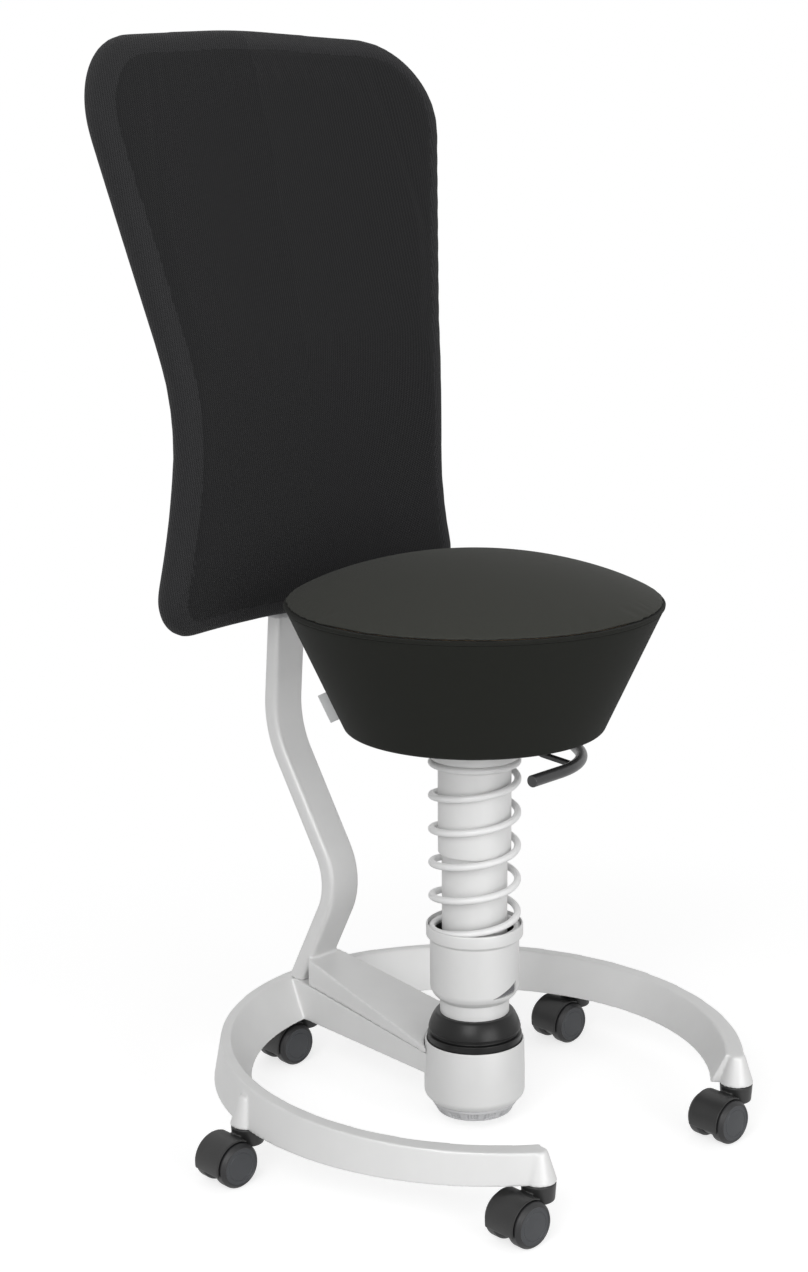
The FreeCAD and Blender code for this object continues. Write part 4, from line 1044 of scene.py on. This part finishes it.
def swell(piece, cap, pinned):
    """Remesh a closed pad evenly and swell it as cloth by no more than the cap; pinned points stay."""
    cast_together(piece, pad_voxel, pad_smoothing)
    mesh = piece.data
    held = piece.vertex_groups.new(name="held")
    held.add([vertex.index for vertex in mesh.vertices if pinned(vertex.co / MM)], 1.0, "REPLACE")
    cloth = modify(piece, "CLOTH")
    for key, value in (("quality", 4), ("mass", 0.3), ("tension_stiffness", 12),
                       ("compression_stiffness", 12), ("bending_stiffness", 0.6), ("use_pressure", True),
                       ("uniform_pressure_force", pad_pressure), ("vertex_group_mass", "held")):
        setattr(cloth.settings, key, value)
    cloth.settings.effector_weights.gravity = 0
    cloth.collision_settings.use_self_collision = False
    cloth.point_cache.frame_start = 1
    cloth.point_cache.frame_end = pad_frames
    scene = bpy.context.scene
    for step in range(1, pad_frames + 1):
        scene.frame_set(step)
    graph = bpy.context.evaluated_depsgraph_get()
    swollen = [vertex.co.copy() for vertex in piece.evaluated_get(graph).data.vertices]
    for vertex, end in zip(mesh.vertices, swollen):
        move = end - vertex.co
        if move.length > cap * MM:
            move *= cap * MM / move.length
        vertex.co = vertex.co + move
    piece.modifiers.clear()
    piece.vertex_groups.clear()
    scene.frame_set(1)
    modify(piece, "SUBSURF", levels=1, render_levels=1)
    apply_modifiers(piece)


def side_radius(z):
    share = (z - seat_bottom_z) / (seat_seam_z - seat_bottom_z)
    return seat_bottom_radius + share * (seat_radius - seat_bottom_radius)


def make_seat_top():
    """Crowned seat cushion, drawn in at the seam under its edge."""
    edge_radius = seat_radius - 1.0
    inner_radius = edge_radius - seat_lap
    foot_z = seat_seam_z + 0.4
    shoulder, shoulder_z = seat_radius - 9.0, seat_seam_z + 7.5
    rise = seat_crown_z - shoulder_z
    ball = (shoulder ** 2 + rise ** 2) / (2 * rise)
    steps = 40
    dome = []
    for step in range(steps + 1):
        radius = shoulder * (1 - step / steps)
        dome.append((radius, seat_crown_z - ball + math.sqrt(ball ** 2 - radius ** 2)))
    edge = rounded([(inner_radius, foot_z, 0), (edge_radius, foot_z, 1.4),
                    (edge_radius - 0.6, seat_seam_z + 4.0, 3.0), dome[0] + (6.0,), dome[3] + (0,)],
                   closed=False, spacing=0.8)
    rings = 20
    inner = [(inner_radius * (1 - step / rings), foot_z) for step in range(rings, 0, -1)]
    piece = make_piece("seat_top_pad", lathe(inner + edge + dome[4:], 200, closed=False))
    swell(piece, 3.0, lambda place: place.z < seat_seam_z + 2.5)
    # The top takes the lighter copy of the seat cloth: painted light from above
    finish_piece(piece, "seat", "seat_cloth", ["seat_cushion"], sharp=180.0, material=seat_top_cloth_painted_light)


def make_seat_side():
    """Padded conical side of the seat, turned under the shell's edge."""
    low = seat_bottom_z
    high = seat_seam_z - 4.2
    inner_z = seat_seam_z - skirt_top
    inner_high = side_radius(inner_z) - skirt_pad + 0.4
    inner_low = side_radius(low + shell_wall) - skirt_pad + 0.4
    fold_z = low + shell_wall - 0.3
    profile = rounded([(skirt_fold_radius, low + 0.6, 1.0), (side_radius(low) - 0.5, low, 7.0),
                       (side_radius(high) - 0.2, high, 0.9), (inner_high, high, 0), (inner_high, inner_z, 0),
                       (inner_low, fold_z, 0), (skirt_fold_radius, fold_z, 0)], spacing=1.0)
    piece = make_piece("seat_side_pad", lathe(resampled(profile, 5.0), 240))
    finish_piece(piece, "seat", "seat_cloth", ["seat_skirt"], sharp=60.0)


def make_seat_welt():
    """Narrow sewn band between the seat's top and side, with a groove above and below it."""
    low = seat_seam_z - 4.0
    high = seat_seam_z + 0.2
    out = seat_radius - 0.5
    profile = rounded([(out - welt_depth, low, 0), (out - 1.6, low, 0.7), (out - 0.4, low + 1.0, 1.0),
                       (out, high - 0.9, 1.0), (out - 0.7, high, 0.6), (out - welt_depth, high, 0)],
                      spacing=0.3)
    piece = make_piece("seat_welt", lathe(profile, 240))
    finish_piece(piece, "seat", "seat_cloth", sharp=60.0)


def make_tag():
    """Small bare tag of folded ribbon, sewn into the side."""
    foot_z = seat_bottom_z + tag_foot
    lean = math.atan2(seat_radius - seat_bottom_radius, seat_seam_z - seat_bottom_z)
    out, side = out_and_side(tag_angle)
    up = Vector((0, 0, 1))
    along = out * math.sin(lean) + up * math.cos(lean)
    away = out * math.cos(lean) - up * math.sin(lean)
    start = out * side_radius(foot_z) + up * foot_z
    outline = rounded([(-1.0, -tag_half, 0), (tag_width, -tag_half, 0.55), (tag_width, tag_half, 0.55),
                       (-1.0, tag_half, 0)], spacing=0.2)
    sections = []
    steps = 24
    for step in range(steps + 1):
        share = step / steps
        ripple = tag_ripple * math.sin(5.0 * share + 0.6)
        section = []
        for u, w in resampled(outline, 1.0):
            bow = ripple * (max(u, 0) / tag_width) ** 2
            section.append(start + along * (tag_height * share) + away * u + side * (w + bow))
        sections.append(section)
    piece = make_piece("seat_label", skin(sections))
    finish_piece(piece, "seat", "tag_cloth", ["seat_tag"], sharp=50.0)


def make_lever():
    """Bent round handle under the seat's edge, with a flat arm that goes up to the gas spring."""
    route = [Vector((point.x, point.y, lever_z)) for point in bent(lever_points, [lever_bend], 2.0)]
    handle = rounded_rod(resampled(route, 4.0, closed=False), lever_radius, lever_edge, 32)
    line = bent([Vector((arm_reach, lever_z)), Vector((arm_drop, lever_z + arm_rise)),
                 Vector((arm_drop, arm_pivot.y)), arm_pivot], [arm_bend, arm_bend], 1.5)
    arm = flat_bar(line, arm_half_width, arm_half_thick, 1.0, *out_and_side(arm_angle), spacing=0.5)
    piece = make_piece("height_handle", joined(handle, arm))
    finish_piece(piece, "lever", "lever_black", ["lever"])


# Backrest


def back_outline(spacing):
    """Front outline of the backrest in (x, z)."""
    right = [(0, back_bottom_z, back_crown_radius),
             (back_bottom_half, back_bottom_z + back_bottom_crown, back_bottom_corner),
             (back_waist_half, back_waist_z, back_waist_radius),
             (back_top_half, back_top_z - back_top_crown, back_top_corner),
             (0, back_top_z, back_crown_radius)]
    left = [(-x, z, radius) for x, z, radius in right[3:0:-1]]
    return resampled(rounded(right + left, spacing=spacing), spacing)


def back_place(x, z, depth):
    """Point of the backrest at (x, z) and a depth behind its front: a lumbar arc between two leans."""
    radius = back_lumbar_radius - depth
    rise = z - back_lumbar_z
    lean = math.asin(max(-1.0, min(1.0, rise / radius)))
    held = max(back_lower_lean, min(back_upper_lean, lean))
    bend_z = radius * math.sin(held)
    y = back_lumbar_y + back_lumbar_radius - radius * math.cos(held) + (rise - bend_z) * math.tan(held)
    axis_y = back_lumbar_y - back_side_radius
    return Vector((x, axis_y + math.sqrt((y - axis_y) ** 2 - x ** 2), z))


def inset_outline(outline, inset):
    """Outline moved inwards by the inset."""
    count = len(outline)
    points = []
    for index, point in enumerate(outline):
        ahead = (outline[(index + 1) % count] - outline[index - 1]).normalized()
        points.append(point + Vector((-ahead.y, ahead.x)) * inset)
    return points


def make_backrest():
    """Padded backrest: front and back panels, each with a crease to the bolster round the edge."""
    outline = inset_outline(back_outline(8.0), -border_outset)
    centre = Vector((0, (back_bottom_z + back_top_z) / 2))
    span = back_thickness / 2 - border_slack
    levels = [(inset * border_width, border_slack + depth * span) for inset, depth in border_profile]
    levels += [(inset, back_thickness + back_fullness * inset / border_width - depth)
               for inset, depth in levels[-2::-1]]
    panel = inset_outline(outline, border_width)

    def panel_ring(share, depth):
        return [back_place(*centre.lerp(point, share), depth) for point in panel]

    rear_depth = back_thickness + back_fullness - border_slack
    sections = [panel_ring(share, border_slack) for share in panel_shares]
    for inset, depth in levels:
        sections.append([back_place(*point, depth) for point in inset_outline(outline, inset)])
    sections += [panel_ring(share, rear_depth) for share in panel_shares[::-1]]
    piece = make_piece("backrest_pad", skin(sections))
    crease = resampled(panel, 2.0)
    tree = kdtree.KDTree(len(crease))
    for index, point in enumerate(crease):
        tree.insert((point.x, 0, point.y), index)
    tree.balance()

    def crease_distance(place):
        return tree.find((place.x, 0, place.z))[2]

    swell(piece, 4.0, lambda place: crease_distance(place) < crease_hold)
    mesh = piece.data
    shifts = []
    for vertex in mesh.vertices:
        near = math.exp(-(crease_distance(vertex.co / MM) / crease_half) ** 2)
        shifts.append(vertex.normal * (-crease_depth * near * abs(vertex.normal.y) * MM))
    for vertex, shift in zip(mesh.vertices, shifts):
        vertex.co += shift
    mesh.update()
    finish_piece(piece, "base", "back_knit", ["backrest_front_pad", "backrest_back_pad"], sharp=180.0)
    # Faces outside the crease take the lighter bolster knit: partly stretched knit, partly painted light
    mesh.materials.append(border_knit_painted_light)
    for face in mesh.polygons:
        place = face.center / MM
        nearest = tree.find((place.x, 0, place.z))[0].xz
        face.material_index = int((place.xz - nearest).dot(nearest - centre) > 0)


# Castors


def about_axle(profile, segments=72):
    """Shape turned about the castor's axle from (radius, y) points."""
    points, faces = lathe(profile, segments)
    return [Vector((point.x - castor_trail, point.z, point.y + wheel_radius)) for point in points], faces


def over_wheels(outline, steps):
    """Shape swept about the castor's axle over the hood's angle, from (radius, y) points."""
    sections = []
    for step in range(steps + 1):
        turn = math.radians(hood_front + (hood_rear - hood_front) * step / steps)
        ahead = Vector((math.cos(turn), 0, math.sin(turn)))
        sections.append([Vector((-castor_trail, y, wheel_radius)) + ahead * radius for radius, y in outline])
    return skin(sections)


def castor_fork_mesh():
    """Castor body: collar, middle web, rib, bridge and hood as one moulding."""
    collar = lathe(rounded([(0, castor_collar_low, 0), (castor_collar_radius - 1.5, castor_collar_low, 2.0),
                            (castor_collar_radius, castor_collar_high, 1.5), (0, castor_collar_high, 0)],
                           closed=False), 64, closed=False)
    web = about_axle(rounded([(web_bore, -web_half, 0), (web_radius, -web_half, 1.0),
                              (web_radius, web_half, 1.0), (web_bore, web_half, 0)]))
    rib_low = web_radius - 2.0
    rib_high = hood_outer - 0.5
    rib_outline = ((rib_low, -web_half), (rib_high, -web_half), (rib_high, web_half), (rib_low, web_half))
    rib = over_wheels(rib_outline, 32)
    low = wheel_radius
    high = castor_collar_low + bridge_rise
    bridge_outline = ((-web_half, low), (web_half, low), (web_half, high), (-web_half, high))
    bridge = skin([[Vector((x, y, z)) for y, z in bridge_outline] for x in (-castor_trail, 0.0)])
    outline = rounded([(hood_inner, -hood_half, 0.6), (hood_outer, -hood_half, 0.8),
                       (hood_outer, hood_half, 0.8), (hood_inner, hood_half, 0.6)], spacing=0.6)
    hood = over_wheels(resampled(outline, 2.0), 48)
    piece = make_piece("castor_fork", joined(collar, web, rib, bridge, hood))
    cast_together(piece, castor_voxel, 2)
    return mesh_of(piece)


def castor_wheel_mesh(side):
    """Wheel with a rounded tread and a lighter dished face with an inset ring."""
    far = wheel_far
    near = wheel_near
    corners = [(0, far - 2.2, 0), (wheel_bore, far - 2.2, 0), (wheel_bore, near, 0),
               (wheel_radius - 3.0, near, 1.0), (wheel_radius, near + 2.5, 2.0),
               (wheel_radius, far - 4.0, 3.0), (wheel_radius - 3.2, far, 1.6)]
    corners += [(radius, far - depth, edge) for radius, depth, edge in wheel_face_steps]
    profile = rounded(corners, closed=False, spacing=0.5)
    piece = make_piece("castor_wheel", about_axle([(radius, side * y) for radius, y in profile], 96))
    mesh = mesh_of(piece)
    mesh.materials.append(slot_materials["wheel_plastic"])
    mesh.materials.append(wheel_face)
    axle = Vector((-castor_trail, 0, wheel_radius))
    for face in mesh.polygons:
        place = face.center / MM - axle
        on_face = abs(place.y) > far - 3.0 and math.hypot(place.x, place.z) < wheel_face_radius
        face.material_index = int(on_face)
    return mesh


def make_castors():
    shapes = (("fork", castor_fork_mesh(), "", "body", "black_plastic"),
              ("wheel_a", castor_wheel_mesh(-1), "_left", "wheel_a", "wheel_plastic"),
              ("wheel_b", castor_wheel_mesh(1), "_right", "wheel_b", "wheel_plastic"))
    for index, angle in enumerate(castor_angles, 1):
        castor = "castor_%d" % index
        for name, mesh, side, node, slot in shapes:
            piece = add_object("%s_%s_shell" % (castor, name), mesh.copy())
            piece.location = castor_place(angle) * MM
            piece.rotation_euler = (0, 0, castor_yaw)
            finish_piece(piece, castor + side, slot, ["%s_%s" % (castor, node)], sharp=35.0)


# Stage, light and camera


def make_floor():
    """Plain white floor that keeps the object's soft shadow and passes into the backdrop further off."""
    corners = ((-floor_half, -floor_half), (floor_half, -floor_half), (floor_half, floor_half),
               (-floor_half, floor_half))
    floor = make_piece("floor", ([Vector((x, y, 0)) for x, y in corners], [[0, 1, 2, 3]]))
    finish = Finish("floor_white")
    plain = finish.add("ShaderNodeBsdfDiffuse", Color=grey(floor_bounce)).outputs[0]
    shade = finish.add("ShaderNodeBsdfDiffuse", Color=grey(floor_shade)).outputs[0]
    glow = finish.add("ShaderNodeEmission", Strength=floor_glow).outputs[0]
    near = finish.add("ShaderNodeAddShader", _0=shade, _1=glow).outputs[0]
    away = finish.add("ShaderNodeVectorMath", {"operation": "LENGTH"}, _0=finish.places["Object"])
    share = finish.add("ShaderNodeMapRange", {"interpolation_type": "SMOOTHSTEP"},
                       Value=away.outputs["Value"], From_Min=floor_near * MM,
                       From_Max=floor_far * MM).outputs["Result"]
    white = finish.add("ShaderNodeEmission", Strength=1.0).outputs[0]
    shown = finish.add("ShaderNodeMixShader", _0=share, _1=near, _2=white).outputs[0]
    both = finish.add("ShaderNodeMixShader", _0=finish.seen_rays(), _1=plain, _2=shown).outputs[0]
    finish.tree.links.new(both, finish.tree.nodes["Material Output"].inputs["Surface"])
    finish.tree.nodes.remove(finish.shader)
    floor.data.materials.append(finish.material)


def make_world():
    """White backdrop, and a soft studio dome that is brightest near the horizon."""
    world = bpy.data.worlds.new("studio")
    bpy.context.scene.world = world
    world.use_nodes = True
    world.node_tree.nodes.clear()
    nodes = Nodes(world.node_tree)
    ramp = nodes.add("ShaderNodeValToRGB", _0=nodes.axes("Generated")["Z"])
    for element, tone in zip(ramp.color_ramp.elements, (dome_low, dome_high)):
        element.color = grey(tone)
    dome = nodes.add("ShaderNodeBackground", Color=ramp.outputs[0]).outputs[0]
    white = nodes.add("ShaderNodeBackground", Color=grey(1.0)).outputs[0]
    shown = nodes.add("ShaderNodeMixShader", _0=nodes.seen_rays(), _1=dome, _2=white).outputs[0]
    nodes.add("ShaderNodeOutputWorld", Surface=shown)


def add_softbox(name, place, target, size, power):
    lamp = bpy.data.lights.new(name, "AREA")
    lamp.shape = "RECTANGLE"
    lamp.size, lamp.size_y = size
    lamp.energy = power
    box = add_object(name, lamp)
    box.location = place
    box.rotation_euler = (Vector(target) - Vector(place)).to_track_quat("-Z", "Y").to_euler()


def make_camera():
    turn = math.radians(camera_azimuth)
    lens = bpy.data.cameras.new("photo_camera")
    lens.sensor_width = sensor_size
    lens.lens = focal_pixels / image_height * sensor_size
    lens.shift_x = (image_width / 2 - centre_pixel_x) / image_height
    camera = add_object("photo_camera", lens)
    camera.location = Vector((camera_distance * math.sin(turn), -camera_distance * math.cos(turn),
                              camera_height)) * MM
    camera.rotation_euler = (math.radians(90 - camera_pitch), 0, turn)
    bpy.context.scene.camera = camera


dress_frame()
make_base()
make_bar()
make_sleeve()
make_rubber()
make_knob()
make_cup()
make_spring()
make_top_ring()
make_seat_top()
make_seat_side()
make_seat_welt()
make_tag()
make_lever()
make_backrest()
make_castors()
make_floor()
make_world()
add_softbox("key_light", key_place, key_target, key_size, key_power)
add_softbox("front_light", front_place, front_target, front_size, front_power)
make_camera()
bpy.context.scene.view_settings.view_transform = "Standard"
